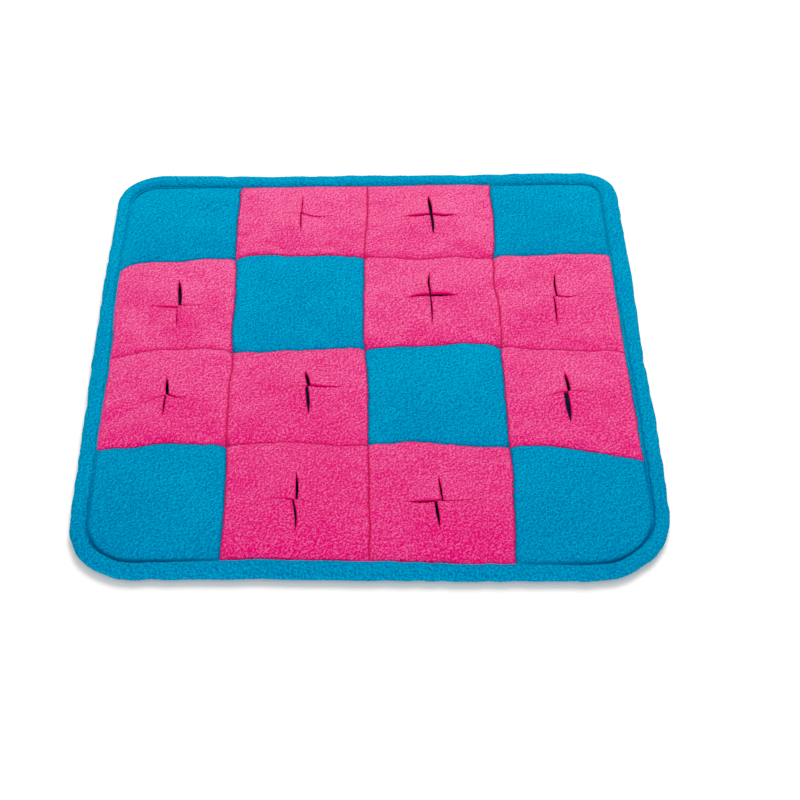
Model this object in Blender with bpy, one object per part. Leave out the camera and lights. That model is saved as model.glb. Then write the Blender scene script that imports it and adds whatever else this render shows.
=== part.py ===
"""Snuffle mat: sixteen fleece patches sewn on a dark backing cloth, with a folded fleece binding.

Ten of the patches are pockets: a cross of two cuts lets a treat slide in between the patch and the
backing. The mat lies flat. X runs to the right, Y to the back and Z up. The origin is the middle of
the mat, on the surface it lies on. Rows count from the back and columns from the left.

Every length in the tables is in millimetres. It becomes metres once, when a mesh is written.
"""
import math

import bmesh
import bpy

MM = 0.001

# ---------------------------------------------------------------- driving dimensions

HALF_MAT = 150.0         # nominal half width and half depth of the mat
STRAIGHT = 110.0         # a side is straight this far each way from its middle
GAP = 0.3                # clearance between two pieces that touch on the real mat

BACKING_CLOTH = 1.6      # thickness of the backing
PATCH_CLOTH = 2.2        # thickness of a fleece patch
RIM_CLOTH = 1.5          # thickness of a patch where its seam presses it flat
BINDING_CLOTH = 2.0      # thickness of the binding strip

TUCK = 3.6               # the patches and the backing end this far in from the outline
RAMP_OUTER = 13.0        # the backing starts to sink here, measured in from the outline
RAMP_INNER = 19.0        # and from here inward it lies on the surface
SEAM_ROUND = 3.6         # radius over which a patch rolls down into a seam
SHOULDER_RUN = 5.0       # a patch swells up to its full height this far past the binding

BACKING_EDGE = BINDING_CLOTH + GAP                         # underside of the backing in the binding
PATCH_EDGE = BACKING_EDGE + BACKING_CLOTH + GAP            # underside of a patch in the binding
TUCKED_TOP = PATCH_EDGE + 1.7                              # top of a patch in the binding
FLANGE = TUCKED_TOP + GAP                                  # underside of the binding's upper leaf
ROLL_TOP = FLANGE + 2.2                                    # crest of the binding
ROLL_MIDDLE = 0.5 * ROLL_TOP

# Each side bows a little out (+) or in (-) of the nominal size, at five even steps along it.
# Front and back run from left to right, left and right run from front to back.
SIDE_BOW = {
    "front": (-0.8, -0.6, 0.4, 1.1, 1.2),
    "right": (-0.1, 0.4, -0.6, 0.0, -0.5),
    "back": (-0.6, -1.6, -0.6, -0.5, 1.2),
    "left": (-0.8, -0.4, 0.2, 0.4, -0.6),
}
# How far the binding reaches in from the outline, at the same steps.
BINDING_WIDTH = {
    "front": (10.5, 10.0, 9.8, 8.6, 10.5),
    "right": (10.5, 9.8, 10.0, 9.7, 10.0),
    "back": (11.5, 11.7, 11.0, 10.2, 10.0),
    "left": (10.3, 10.3, 9.8, 8.2, 10.5),
}
# How far the line of stitches runs in from the binding's inner edge, at the same steps.
BINDING_LIP = {
    "front": (1.4, 1.2, 1.2, 1.2, 1.4),
    "right": (1.4, 2.6, 2.2, 1.4, 1.4),
    "back": (1.8, 1.4, 1.2, 1.2, 1.4),
    "left": (2.0, 1.4, 2.2, 1.2, 2.0),
}
# Sides and corners, in the order that a walk round the mat meets them.
OUTWARD = {"front": (0, -1), "right": (1, 0), "back": (0, 1), "left": (-1, 0)}
CORNERS = (
    # side before the corner, x sign, y sign, radius
    ("front", 1, -1, 38.0),
    ("right", 1, 1, 27.0),
    ("back", -1, 1, 29.0),
    ("left", -1, -1, 32.0),
)
SIDE_STEPS = 8           # mesh steps along a side
ARC_STEPS = 8            # and round a corner

# The folded binding's cut face. Each point is measured in from the outline, or outward from the
# strip's inner edge or from its line of stitches.
BINDING_SECTION = (
    # measured from, distance, height
    ("inner edge", 0.0, FLANGE),
    ("inner edge", 0.0, FLANGE + 1.1),
    ("stitches", 0.0, FLANGE + 0.8),
    ("stitches", 1.6, ROLL_TOP - 0.5),
    ("outline", 4.3, ROLL_TOP),
    ("outline", 1.3, ROLL_TOP - 1.3),
    ("outline", 0.0, ROLL_MIDDLE),
    ("outline", 1.2, 1.1),
    ("outline", 3.6, 0.0),
    ("inner edge", 0.0, 0.0),
    ("inner edge", 0.0, BINDING_CLOTH),
    ("outline", 3.2, BINDING_CLOTH),
    ("outline", 2.1, ROLL_MIDDLE),
    ("outline", 3.2, FLANGE),
)

# ---------------------------------------------------------------- the sewn net of seams

# Where the three column seams cross each row seam, and where the row seam meets the binding.
ROW_SEAMS = (
    # column 1 x, y, column 2 x, y, column 3 x, y, y at the left end, y at the right end
    (-75.9, 77.0, -2.0, 77.6, 72.9, 77.5, 70.0, 79.7),
    (-74.1, 2.8, -1.7, 5.0, 72.6, 6.0, -2.1, 2.1),
    (-73.8, -64.9, -0.4, -64.4, 72.6, -66.4, -69.2, -76.3),
)
# Where each column seam meets the binding: x at the back, x at the front.
COLUMN_ENDS = ((-76.8, -72.8), (-0.4, 0.1), (74.4, 71.3))
# How far each stretch of a row seam bows to the back, from left to right.
ROW_BOW = ((0.8, 0.5, -0.3, 0.2), (2.7, -1.2, 0.0, -1.5), (1.2, 0.6, 0.8, 1.3))
# How far each stretch of a column seam bows to the right, from back to front.
COLUMN_BOW = ((0.0, 0.3, -0.4, 0.5), (0.5, -0.8, 0.9, 0.0), (0.5, 0.2, -0.2, 1.0))

# ---------------------------------------------------------------- the patches

PLAIN_SHOULDER = 6.3     # height of a plain patch just inside its seams
PLAIN_CROWN = 1.1        # its middle stands this much higher
POCKET_SHOULDER = 6.7    # height of a pocket patch just inside its seams
POCKET_CROWN = -0.7      # its middle sags, because the cuts set it free

# The cross of cuts in each pocket patch: its centre, and the reach of each cut from there.
SLIT_ARMS = (
    # row, column, centre x, y, back dx, dy, front dx, dy, left dx, dy, right dx, dy
    (1, 2, -39.1, 112.7, 0.3, 16.9, 0.1, -15.8, -17.4, -0.3, 18.0, 0.8),
    (1, 3, 37.1, 111.4, -1.3, 16.5, 0.9, -15.8, -16.4, -2.0, 15.3, 1.1),
    (2, 1, -105.7, 32.5, -1.5, 21.2, 0.7, -12.6, -15.9, 4.3, 19.4, 4.1),
    (2, 3, 34.9, 43.6, 0.3, 17.5, 0.4, -22.5, -12.3, -2.0, 13.7, -0.5),
    (2, 4, 104.7, 40.9, 0.5, 20.0, 0.7, -19.2, -14.3, 0.9, 15.9, 3.5),
    (3, 1, -107.4, -33.1, -1.3, 11.7, -0.1, -11.2, -13.5, -5.5, 14.4, 1.3),
    (3, 2, -32.7, -26.8, -1.9, 10.6, 1.8, -18.3, -14.8, -4.1, 22.0, 0.6),
    (3, 4, 105.1, -31.5, -1.4, 14.1, 1.5, -18.2, -12.2, -2.5, 18.9, 0.5),
    (4, 2, -37.2, -104.2, -0.9, 17.8, 1.6, -18.8, -15.6, 0.7, 12.0, -0.5),
    (4, 3, 35.0, -105.1, -1.6, 16.2, 1.4, -15.3, -16.3, 0.1, 16.5, 1.5),
)
# How the four flaps of each cross lie: the gap at the inner end of each cut, how far the back cut
# stands to the right of the front one, and how much each flap's corner rises.
SLIT_FLAPS = (
    # row, column, gap back, front, left, right, step, rise back left, back right, front left, front right
    (1, 2, 0.5, 0.9, 0.4, 0.4, 0.3, 0.0, 0.3, -0.2, -0.3),
    (1, 3, 2.2, 1.6, 1.3, 1.6, 0.0, 0.7, 0.7, -0.4, -0.4),
    (2, 1, 2.0, 0.4, 0.4, 0.4, 0.3, -0.6, 1.3, -1.2, 0.9),
    (2, 3, 1.0, 0.5, 2.0, 2.2, 0.0, 0.8, 0.8, -0.5, -0.5),
    (2, 4, 0.8, 0.6, 0.4, 0.4, 2.0, -0.2, 0.5, 0.0, -0.3),
    (3, 1, 1.3, 1.0, 0.4, 0.4, 1.3, -0.5, 1.2, -0.3, 0.2),
    (3, 2, 1.4, 1.6, 0.4, 0.4, 1.5, 0.0, 0.5, 0.3, -0.2),
    (3, 4, 1.8, 2.8, 0.4, 0.4, 2.2, 0.0, 0.4, -0.3, 0.4),
    (4, 2, 1.1, 0.9, 0.4, 0.4, 2.1, 0.2, 0.0, -0.2, 0.2),
    (4, 3, 1.0, 1.5, 1.2, 0.4, 3.2, 0.5, 0.0, -0.5, 0.3),
)
# Soft valleys (-) and ridges (+) in the fleece: where each starts and ends, its half width and height.
FOLDS = (
    # row, column, start x, y, end x, y, half width, height
    (3, 1, -118.0, -37.0, -134.0, -50.0, 5.0, -1.1),
    (3, 1, -126.0, -36.0, -138.0, -42.0, 5.0, 0.6),
    (2, 1, -128.0, 34.0, -110.0, 12.0, 8.0, -0.8),
    (2, 4, 88.0, 54.0, 96.0, 30.0, 6.0, 0.4),
    (3, 2, -48.0, -30.0, -66.0, -40.0, 5.0, -0.5),
)

# Mesh lines across a patch, measured in from a seam.
SEAM_LINES = (0.0, 1.3, 4.8)
PLAIN_LINES = (0.18, 0.5, 0.82)      # fractions of the room left between the two outermost sets

# Colours in linear light, and how rough each cloth is.
FLEECE_BLUE = (0.002, 0.275, 0.503)
FLEECE_PINK = (0.799, 0.053, 0.242)
BACKING_NAVY = (0.010, 0.010, 0.042)
CLOTH_ROUGHNESS = 0.95


# ---------------------------------------------------------------- small tools

def clamp(value):
    return min(max(value, 0.0), 1.0)


def ease(value):
    t = clamp(value)
    return t * t * (3.0 - 2.0 * t)


def mix(a, b, t):
    return a + (b - a) * t


def unit(x, y):
    length = math.hypot(x, y)
    return x / length, y / length


def clear_scene():
    for item in list(bpy.data.objects):
        bpy.data.objects.remove(item, do_unlink=True)


def cloth_material(name, colour):
    material = bpy.data.materials.new(name)
    material.use_nodes = True
    shader = material.node_tree.nodes["Principled BSDF"]
    shader.inputs["Base Color"].default_value = (*colour, 1.0)
    shader.inputs["Roughness"].default_value = CLOTH_ROUGHNESS
    shader.inputs["Metallic"].default_value = 0.0
    material.diffuse_color = (*colour, 1.0)
    return material


def make_piece(name, points, faces, colour):
    """Write one closed solid from points in millimetres and faces that list them."""
    mesh = bpy.data.meshes.new(name)
    form = bmesh.new()
    verts = [form.verts.new((x * MM, y * MM, z * MM)) for x, y, z in points]
    for face in faces:
        form.faces.new([verts[i] for i in face])
    form.to_mesh(mesh)
    form.free()
    mesh.shade_smooth()
    mesh.set_sharp_from_angle(angle=math.radians(50.0))
    mesh.materials.append(cloth_material(name + "_cloth", colour))
    piece = bpy.data.objects.new(name, mesh)
    bpy.context.scene.collection.objects.link(piece)
    return piece


# ---------------------------------------------------------------- the outline

def side_value(table, side, place):
    """The value that a five-step side table gives at a place along the side."""
    steps = table[side]
    t = clamp((place + STRAIGHT) / (2.0 * STRAIGHT)) * (len(steps) - 1)
    first = min(int(t), len(steps) - 2)
    return mix(steps[first], steps[first + 1], ease(t - first))


def reach(side, place):
    """Distance of the outline from the middle of the mat, along one side."""
    return HALF_MAT + side_value(SIDE_BOW, side, place)


def quarter(x, y):
    """The signs and the corner radius of the quarter of the mat that holds a point."""
    sign_x = 1 if x >= 0.0 else -1
    sign_y = 1 if y >= 0.0 else -1
    radius = next(r for _, corner_x, corner_y, r in CORNERS if (corner_x, corner_y) == (sign_x, sign_y))
    return sign_x, sign_y, radius


def sides_near(sign_x, sign_y):
    return "right" if sign_x > 0 else "left", "back" if sign_y > 0 else "front"


def past_centre(x, y):
    """How far a point lies past its corner's centre, in x and in y, and the corner's radius."""
    sign_x, sign_y, radius = quarter(x, y)
    side_x, side_y = sides_near(sign_x, sign_y)
    return abs(x) - reach(side_x, y) + radius, abs(y) - reach(side_y, x) + radius, radius


def edge_distance(x, y):
    """Distance in from the outline, for a point inside it."""
    past_x, past_y, radius = past_centre(x, y)
    outside = math.hypot(max(past_x, 0.0), max(past_y, 0.0))
    return radius - outside - min(max(past_x, past_y), 0.0)


def side_table_at(table, x, y):
    """A side table's value at any point, carried round the corners from one side to the next."""
    sign_x, sign_y, _ = quarter(x, y)
    side_x, side_y = sides_near(sign_x, sign_y)
    past_x, past_y, _ = past_centre(x, y)
    by_x = side_value(table, side_x, y)
    by_y = side_value(table, side_y, x)
    if past_x > 0.0 and past_y > 0.0:
        return mix(by_x, by_y, math.atan2(past_y, past_x) / (0.5 * math.pi))
    return by_x if past_x > past_y else by_y


def round_corner(x, y):
    """Draw the square corner of a patch in to the rounded corner that the binding follows."""
    sign_x, sign_y, radius = quarter(x, y)
    past_x, past_y, _ = past_centre(x, y)
    if past_x <= 0.0 or past_y <= 0.0:
        return x, y
    inner = radius - TUCK
    a = past_x / inner
    b = past_y / inner
    drawn_x = inner * a * math.sqrt(1.0 - 0.5 * b * b)
    drawn_y = inner * b * math.sqrt(1.0 - 0.5 * a * a)
    return x + sign_x * (drawn_x - past_x), y + sign_y * (drawn_y - past_y)


def corner_centre(corner):
    _, sign_x, sign_y, radius = corner
    side_x, side_y = sides_near(sign_x, sign_y)
    x = sign_x * (reach(side_x, sign_y * HALF_MAT) - radius)
    y = sign_y * (reach(side_y, sign_x * HALF_MAT) - radius)
    return x, y


def stations():
    """Points round the outline, anticlockwise from the front left: x, y and the way out."""
    rows = []
    for index, corner in enumerate(CORNERS):
        side, _, _, radius = corner
        start = corner_centre(CORNERS[index - 1])
        end = corner_centre(corner)
        out = OUTWARD[side]
        for step in range(SIDE_STEPS):
            t = step / SIDE_STEPS
            if out[0] == 0:
                x = mix(start[0], end[0], t)
                rows.append((x, out[1] * reach(side, x), *out))
            else:
                y = mix(start[1], end[1], t)
                rows.append((out[0] * reach(side, y), y, *out))
        first = math.atan2(out[1], out[0])
        for step in range(ARC_STEPS):
            angle = first + 0.5 * math.pi * step / ARC_STEPS
            way = (math.cos(angle), math.sin(angle))
            rows.append((end[0] + radius * way[0], end[1] + radius * way[1], *way))
    return rows


# ---------------------------------------------------------------- the binding and the backing

def binding_section(width, lip):
    """The folded strip's cut face where it has a given width and lip: distance in, and height."""
    zero = {"outline": 0.0, "inner edge": width, "stitches": width - lip}
    return [(abs(zero[origin] - distance), z) for origin, distance, z in BINDING_SECTION]


def build_binding():
    points = []
    rows = stations()
    for x, y, out_x, out_y in rows:
        width = side_table_at(BINDING_WIDTH, x, y)
        lip = side_table_at(BINDING_LIP, x, y)
        section = binding_section(width, lip)
        points += [(x - out_x * inward, y - out_y * inward, z) for inward, z in section]
    size = len(section)
    faces = []
    for ring in range(len(rows)):
        here = ring * size
        following = (ring + 1) % len(rows) * size
        for k in range(size):
            nxt = (k + 1) % size
            faces.append((here + k, here + nxt, following + nxt, following + k))
    return make_piece("binding", points, faces, FLEECE_BLUE)


def backing_top(inward):
    """Height of the backing's upper face at a distance in from the outline."""
    raised = clamp((RAMP_INNER - inward) / (RAMP_INNER - RAMP_OUTER))
    return BACKING_CLOTH + BACKING_EDGE * raised


def build_backing():
    """A flat sheet whose edge climbs into the fold of the binding."""
    rows = stations()
    count = len(rows)
    rings = (
        # distance in from the outline, height above the upper face
        (RAMP_INNER, 0.0), (RAMP_OUTER, 0.0), (TUCK, 0.0),
        (TUCK, -BACKING_CLOTH), (RAMP_OUTER, -BACKING_CLOTH), (RAMP_INNER, -BACKING_CLOTH),
    )
    points = []
    for inward, offset in rings:
        z = backing_top(inward) + offset
        points += [(x - out_x * inward, y - out_y * inward, z) for x, y, out_x, out_y in rows]
    faces = [tuple(range(count))]
    for ring in range(len(rings) - 1):
        for k in range(count):
            nxt = (k + 1) % count
            here = ring * count
            faces.append((here + k, here + count + k, here + count + nxt, here + nxt))
    last = (len(rings) - 1) * count
    faces.append(tuple(last + k for k in reversed(range(count))))
    return make_piece("backing", points, faces, BACKING_NAVY)


# ---------------------------------------------------------------- the patches' plan

def net_point(row, column):
    """Corner of the net of seams. Row 0 is the back edge, row 4 the front, column 0 the left."""
    if 1 <= row <= 3 and 1 <= column <= 3:
        seam = ROW_SEAMS[row - 1]
        return seam[2 * column - 2], seam[2 * column - 1]
    if 1 <= row <= 3:
        y = ROW_SEAMS[row - 1][6 if column == 0 else 7]
        return (-(reach("left", y) - TUCK), y) if column == 0 else (reach("right", y) - TUCK, y)
    side_y, sign_y = ("back", 1) if row == 0 else ("front", -1)
    if 1 <= column <= 3:
        x = COLUMN_ENDS[column - 1][0 if row == 0 else 1]
        return x, sign_y * (reach(side_y, x) - TUCK)
    side_x, sign_x = ("left", -1) if column == 0 else ("right", 1)
    x = sign_x * (reach(side_x, sign_y * HALF_MAT) - TUCK)
    return x, sign_y * (reach(side_y, x) - TUCK)


def row_line(row, column, t):
    """A point on the row seam behind a patch's row, or on the tucked edge past the last one."""
    a = net_point(row, column)
    b = net_point(row, column + 1)
    x = mix(a[0], b[0], t)
    if row == 0:
        return x, reach("back", x) - TUCK
    if row == 4:
        return x, -(reach("front", x) - TUCK)
    return x, mix(a[1], b[1], t) + ROW_BOW[row - 1][column] * 4.0 * t * (1.0 - t)


def column_line(row, column, t):
    """A point on the column seam at the left of a patch, from its back end to its front end."""
    a = net_point(row, column)
    b = net_point(row + 1, column)
    y = mix(a[1], b[1], t)
    if column == 0:
        return -(reach("left", y) - TUCK), y
    if column == 4:
        return reach("right", y) - TUCK, y
    return mix(a[0], b[0], t) + COLUMN_BOW[column - 1][row] * 4.0 * t * (1.0 - t), y


class Patch:
    """One cut piece of fleece, with u from 0 at its left to 1, and v from 0 at its front to 1."""

    def __init__(self, row, column):
        self.row = row
        self.column = column
        self.corners = [net_point(row - 1 + a, column - 1 + b) for a in (1, 0) for b in (0, 1)]
        front_left, front_right, back_left, back_right = self.corners
        self.width = 0.5 * (front_right[0] - front_left[0] + back_right[0] - back_left[0])
        self.depth = 0.5 * (back_left[1] - front_left[1] + back_right[1] - front_right[1])
        self.arms = next((r[2:] for r in SLIT_ARMS if r[:2] == (row, column)), None)
        self.flaps = next((r[2:] for r in SLIT_FLAPS if r[:2] == (row, column)), None)
        self.folds = [r[2:] for r in FOLDS if r[:2] == (row, column)]
        self.seams = {"left": column > 1, "right": column < 4, "back": row > 1, "front": row < 4}

    def plan(self, u, v):
        """Where a point of the patch lies, blended from its four sides."""
        row, column = self.row, self.column
        front = row_line(row, column - 1, u)
        back = row_line(row - 1, column - 1, u)
        left = column_line(row - 1, column - 1, 1.0 - v)
        right = column_line(row - 1, column, 1.0 - v)
        spot = []
        for axis in (0, 1):
            square = mix(mix(self.corners[0][axis], self.corners[1][axis], u),
                         mix(self.corners[2][axis], self.corners[3][axis], u), v)
            spot.append(mix(front[axis], back[axis], v) + mix(left[axis], right[axis], u) - square)
        return spot[0], spot[1]

    def locate(self, x, y):
        """The u and v of a point, by a few rounds of correction."""
        u, v = 0.5, 0.5
        for _ in range(6):
            here = self.plan(u, v)
            u += (x - here[0]) / self.width
            v += (y - here[1]) / self.depth
        return u, v

    def side_distances(self, u, v):
        return {"left": u * self.width, "right": (1.0 - u) * self.width,
                "front": v * self.depth, "back": (1.0 - v) * self.depth}

    def fold_height(self, x, y):
        """Sum of the soft valleys and ridges at a point."""
        total = 0.0
        for start_x, start_y, end_x, end_y, half_width, height in self.folds:
            run_x, run_y = end_x - start_x, end_y - start_y
            length = math.hypot(run_x, run_y)
            along = ((x - start_x) * run_x + (y - start_y) * run_y) / length
            across = ((x - start_x) * run_y - (y - start_y) * run_x) / length
            past_end = max(-along, along - length, 0.0)
            total += height * math.exp(-(across / half_width) ** 2 - (past_end / half_width) ** 2)
        return total

    def top(self, x, y, u, v):
        """Height of the fleece's upper face."""
        inward = edge_distance(x, y)
        rim = backing_top(inward) + GAP + RIM_CLOTH
        swell = 1.0
        for side, distance in self.side_distances(u, v).items():
            if self.seams[side]:
                swell *= math.sqrt(1.0 - (1.0 - clamp(distance / SEAM_ROUND)) ** 2)
        shoulder, crown = (POCKET_SHOULDER, POCKET_CROWN) if self.arms else (PLAIN_SHOULDER, PLAIN_CROWN)
        pillow = 16.0 * u * (1.0 - u) * v * (1.0 - v)
        crest = shoulder + crown * pillow + self.fold_height(x, y)
        z = mix(rim, crest, swell)
        past_binding = inward - side_table_at(BINDING_WIDTH, x, y) - 2.0 * GAP
        return mix(TUCKED_TOP, z, ease(past_binding / SHOULDER_RUN))


# ---------------------------------------------------------------- the cross of cuts

class Cross:
    """The cross of cuts in one pocket patch, and how its four flaps lie."""

    def __init__(self, patch):
        x, y, back_x, back_y, front_x, front_y, left_x, left_y, right_x, right_y = patch.arms
        self.centre = (x, y)
        self.u, self.v = patch.locate(x, y)
        self.left_u = patch.locate(x + left_x, y + left_y)[0]
        self.right_u = patch.locate(x + right_x, y + right_y)[0]
        self.front_v = patch.locate(x + front_x, y + front_y)[1]
        self.back_v = patch.locate(x + back_x, y + back_y)[1]
        # How far each tip, and the centre, lies off the straight line of the patch's weave.
        self.lean = {
            "back": x + back_x - patch.plan(self.u, self.back_v)[0],
            "front": x + front_x - patch.plan(self.u, self.front_v)[0],
            "left": y + left_y - patch.plan(self.left_u, self.v)[1],
            "right": y + right_y - patch.plan(self.right_u, self.v)[1],
        }
        # Each flap slides along its two cuts, so that the edges of a cut part but never cross.
        rightward = {"left": unit(-left_x, -left_y), "right": unit(right_x, right_y)}
        backward = {"front": unit(-front_x, -front_y), "back": unit(back_x, back_y)}
        gap_back, gap_front, gap_left, gap_right, step, *rises = patch.flaps
        slides = {
            ("left", "back"): (0.5 * (step - gap_back), 0.5 * gap_left, rises[0]),
            ("right", "back"): (0.5 * (step + gap_back), 0.5 * gap_right, rises[1]),
            ("left", "front"): (0.5 * (-step - gap_front), -0.5 * gap_left, rises[2]),
            ("right", "front"): (0.5 * (-step + gap_front), -0.5 * gap_right, rises[3]),
        }
        self.shift = {}
        for (side_u, side_v), (along, across, rise) in slides.items():
            way_u, way_v = rightward[side_u], backward[side_v]
            self.shift[side_u, side_v] = (along * way_u[0] + across * way_v[0],
                                          along * way_u[1] + across * way_v[1], rise)

    def leaning(self, u, v):
        """Bend the straight lines of the patch so that they run along the cuts."""
        hat_u = clamp(u / self.u) if u < self.u else clamp((1.0 - u) / (1.0 - self.u))
        hat_v = clamp(v / self.v) if v < self.v else clamp((1.0 - v) / (1.0 - self.v))
        side, tip = ("front", self.front_v) if v < self.v else ("back", self.back_v)
        inside = clamp((v - self.v) / (tip - self.v))
        end = 0.0 if side == "front" else 1.0
        outside = clamp((end - v) / (end - tip))
        dx = self.lean[side] * min(inside, outside) * hat_u
        side, tip = ("left", self.left_u) if u < self.u else ("right", self.right_u)
        inside = clamp((u - self.u) / (tip - self.u))
        end = 0.0 if side == "left" else 1.0
        outside = clamp((end - u) / (end - tip))
        dy = self.lean[side] * min(inside, outside) * hat_v
        return dx, dy

    def flap(self, side_u, side_v, u, v):
        """How a flap moves at a point: full at its free corner, nothing past the ends of its cuts."""
        tip_u = self.left_u if side_u == "left" else self.right_u
        tip_v = self.front_v if side_v == "front" else self.back_v
        a = 1.0 - clamp((u - self.u) / (tip_u - self.u))
        b = 1.0 - clamp((v - self.v) / (tip_v - self.v))
        return [part * a * b for part in self.shift[side_u, side_v]]


# ---------------------------------------------------------------- meshing a patch

def lines_from_side(patch, side, length):
    """Mesh lines near one side of a patch, as fractions of its length in from that side."""
    if patch.seams[side]:
        return [max(line, 0.5 * GAP) / length for line in SEAM_LINES]
    middle_of = {"left": (0.0, 0.5), "right": (1.0, 0.5), "back": (0.5, 1.0), "front": (0.5, 0.0)}
    width = side_table_at(BINDING_WIDTH, *patch.plan(*middle_of[side]))
    return [(inward - TUCK) / length for inward in (TUCK, width + 2.0 * GAP, RAMP_OUTER, RAMP_INNER)]


def mesh_lines(patch, low_side, high_side, length, inner):
    low = lines_from_side(patch, low_side, length)
    high = [1.0 - t for t in lines_from_side(patch, high_side, length)]
    if inner is None:
        inner = [mix(low[-1], high[-1], t) for t in PLAIN_LINES]
    return low + inner + high[::-1]


def build_patch(row, column):
    patch = Patch(row, column)
    cross = Cross(patch) if patch.arms else None
    inner_u, inner_v = None, None
    if cross:
        half_left, half_right = mix(cross.left_u, cross.u, 0.5), mix(cross.right_u, cross.u, 0.5)
        half_front, half_back = mix(cross.front_v, cross.v, 0.5), mix(cross.back_v, cross.v, 0.5)
        inner_u = [cross.left_u, half_left, cross.u, half_right, cross.right_u]
        inner_v = [cross.front_v, half_front, cross.v, half_back, cross.back_v]
    us = mesh_lines(patch, "left", "right", patch.width, inner_u)
    vs = mesh_lines(patch, "front", "back", patch.depth, inner_v)

    points = []
    index = {}

    def corner_index(i, j, cell_i, cell_j):
        """Index of the upper point at a mesh crossing, as the cell to one side of a cut sees it."""
        u, v = us[i], vs[j]
        in_cross = cross and cross.left_u < u < cross.right_u and cross.front_v < v < cross.back_v
        side_u = side_v = None
        if in_cross:
            side_u = "left" if us[cell_i] < cross.u else "right"
            side_v = "front" if vs[cell_j] < cross.v else "back"
        # A crossing on a cut is split between the flaps on its two sides, or four at the centre.
        split_u = side_u if in_cross and u == cross.u else None
        split_v = side_v if in_cross and v == cross.v else None
        key = (i, j, split_u, split_v)
        if key not in index:
            x, y = round_corner(*patch.plan(u, v))
            rise = 0.0
            if cross:
                lean_x, lean_y = cross.leaning(u, v)
                x, y = x + lean_x, y + lean_y
            if in_cross:
                move_x, move_y, rise = cross.flap(side_u, side_v, u, v)
                x, y = x + move_x, y + move_y
            z = patch.top(x, y, u, v) + rise
            under = max(backing_top(edge_distance(x, y)) + GAP, z - PATCH_CLOTH)
            index[key] = len(points)
            points.append((x, y, z))
            points.append((x, y, under))
        return index[key]

    faces = []
    edges = {}
    for i in range(len(us) - 1):
        for j in range(len(vs) - 1):
            cell = [corner_index(a, b, i, j) for a, b in ((i, j), (i + 1, j), (i + 1, j + 1), (i, j + 1))]
            faces.append(tuple(cell))
            faces.append(tuple(k + 1 for k in reversed(cell)))
            for a, b in zip(cell, cell[1:] + cell[:1]):
                if (b, a) in edges:
                    del edges[b, a]
                else:
                    edges[a, b] = True
    for a, b in edges:
        faces.append((b, a, a + 1, b + 1))
    kind, colour = ("pocket", FLEECE_PINK) if cross else ("plain", FLEECE_BLUE)
    return make_piece(f"{kind}_patch_{row}_{column}", points, faces, colour)


def build_mat():
    clear_scene()
    build_backing()
    for row in range(1, 5):
        for column in range(1, 5):
            build_patch(row, column)
    build_binding()


build_mat()
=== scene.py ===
# %% [markdown]
# # A snuffle mat of sewn fleece patches
#
# The real thing is a flat square mat for a dog to sniff for treats. Sixteen patches of fleece are sewn
# edge to edge on a dark backing cloth, and a strip of blue fleece is folded over the edge all round.
# Ten of the patches are pockets, opened by a cross of two cuts.
#
# The solids of the mat are already packed, in metres, with X to the right, Y to the back and Z up. This
# file dresses them: every solid is replaced by a fine sheet of cloth on the same folds.

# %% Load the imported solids
import math

import bpy
import numpy as np
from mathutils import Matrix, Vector


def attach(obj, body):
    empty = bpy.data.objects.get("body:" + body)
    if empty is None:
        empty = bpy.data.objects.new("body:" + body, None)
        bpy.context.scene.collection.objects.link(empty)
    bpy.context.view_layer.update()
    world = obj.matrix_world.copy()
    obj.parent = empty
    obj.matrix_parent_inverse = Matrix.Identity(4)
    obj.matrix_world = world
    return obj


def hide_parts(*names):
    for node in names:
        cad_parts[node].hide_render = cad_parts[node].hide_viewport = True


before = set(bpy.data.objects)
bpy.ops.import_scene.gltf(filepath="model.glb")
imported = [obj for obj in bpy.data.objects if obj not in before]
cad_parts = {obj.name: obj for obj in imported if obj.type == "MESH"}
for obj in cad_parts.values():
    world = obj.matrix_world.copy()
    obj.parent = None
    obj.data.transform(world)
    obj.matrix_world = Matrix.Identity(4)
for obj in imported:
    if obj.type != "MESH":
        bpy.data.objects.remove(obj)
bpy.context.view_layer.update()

MM = 0.001

# %% [markdown]
# ## The camera
#
# The view looks down on the mat from its front at about 48 degrees. A camera is easiest to place by the
# point it looks at, a distance and two angles. The small sideways shift keeps the mat a little left of
# the middle without turning the camera, so the mat's sides stay straight.

# %% Place the camera
LOOK_AT = (0.00068, -0.03024, 0.0)
LOOK_DISTANCE = 0.86793
LOOK_ELEVATION = math.radians(47.657)
LOOK_AZIMUTH = math.radians(-0.246)
FOCAL_LENGTH, SENSOR_WIDTH, SIDE_SHIFT = 73.22, 36.0, 0.0375

lens = bpy.data.cameras.new("view")
lens.lens = FOCAL_LENGTH
lens.sensor_width = SENSOR_WIDTH
lens.shift_x = SIDE_SHIFT
camera = bpy.data.objects.new("view", lens)
away = Vector((math.sin(LOOK_AZIMUTH) * math.cos(LOOK_ELEVATION),
               -math.cos(LOOK_AZIMUTH) * math.cos(LOOK_ELEVATION),
               math.sin(LOOK_ELEVATION)))
camera.location = Vector(LOOK_AT) + away * LOOK_DISTANCE
camera.rotation_euler = away.to_track_quat("Z", "Y").to_euler()
bpy.context.scene.collection.objects.link(camera)
bpy.context.scene.camera = camera
print("camera at", np.round(np.array(camera.location), 3).tolist())

# %% [markdown]
# ## Light and floor
#
# Fleece has no gloss, so its look comes from soft light that grazes the pile. One large lamp stands
# well behind the mat and to its right: the far shoulder of each patch turns to it and goes pale, and the
# near one falls into shade. It stands far off, so that it lights the whole mat evenly. A weak lamp at the
# front and a white sky fill the shadows. The colours are strong, so they are shown without a film curve,
# which would wash them out.
#
# The floor is a plain square, a little warm. The bright fleece throws blue and pink light on the floor
# beside it, and the warm tint keeps the shadow there a neutral grey.

# %% Light the mat
SKY_STRENGTH = 0.63


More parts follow.
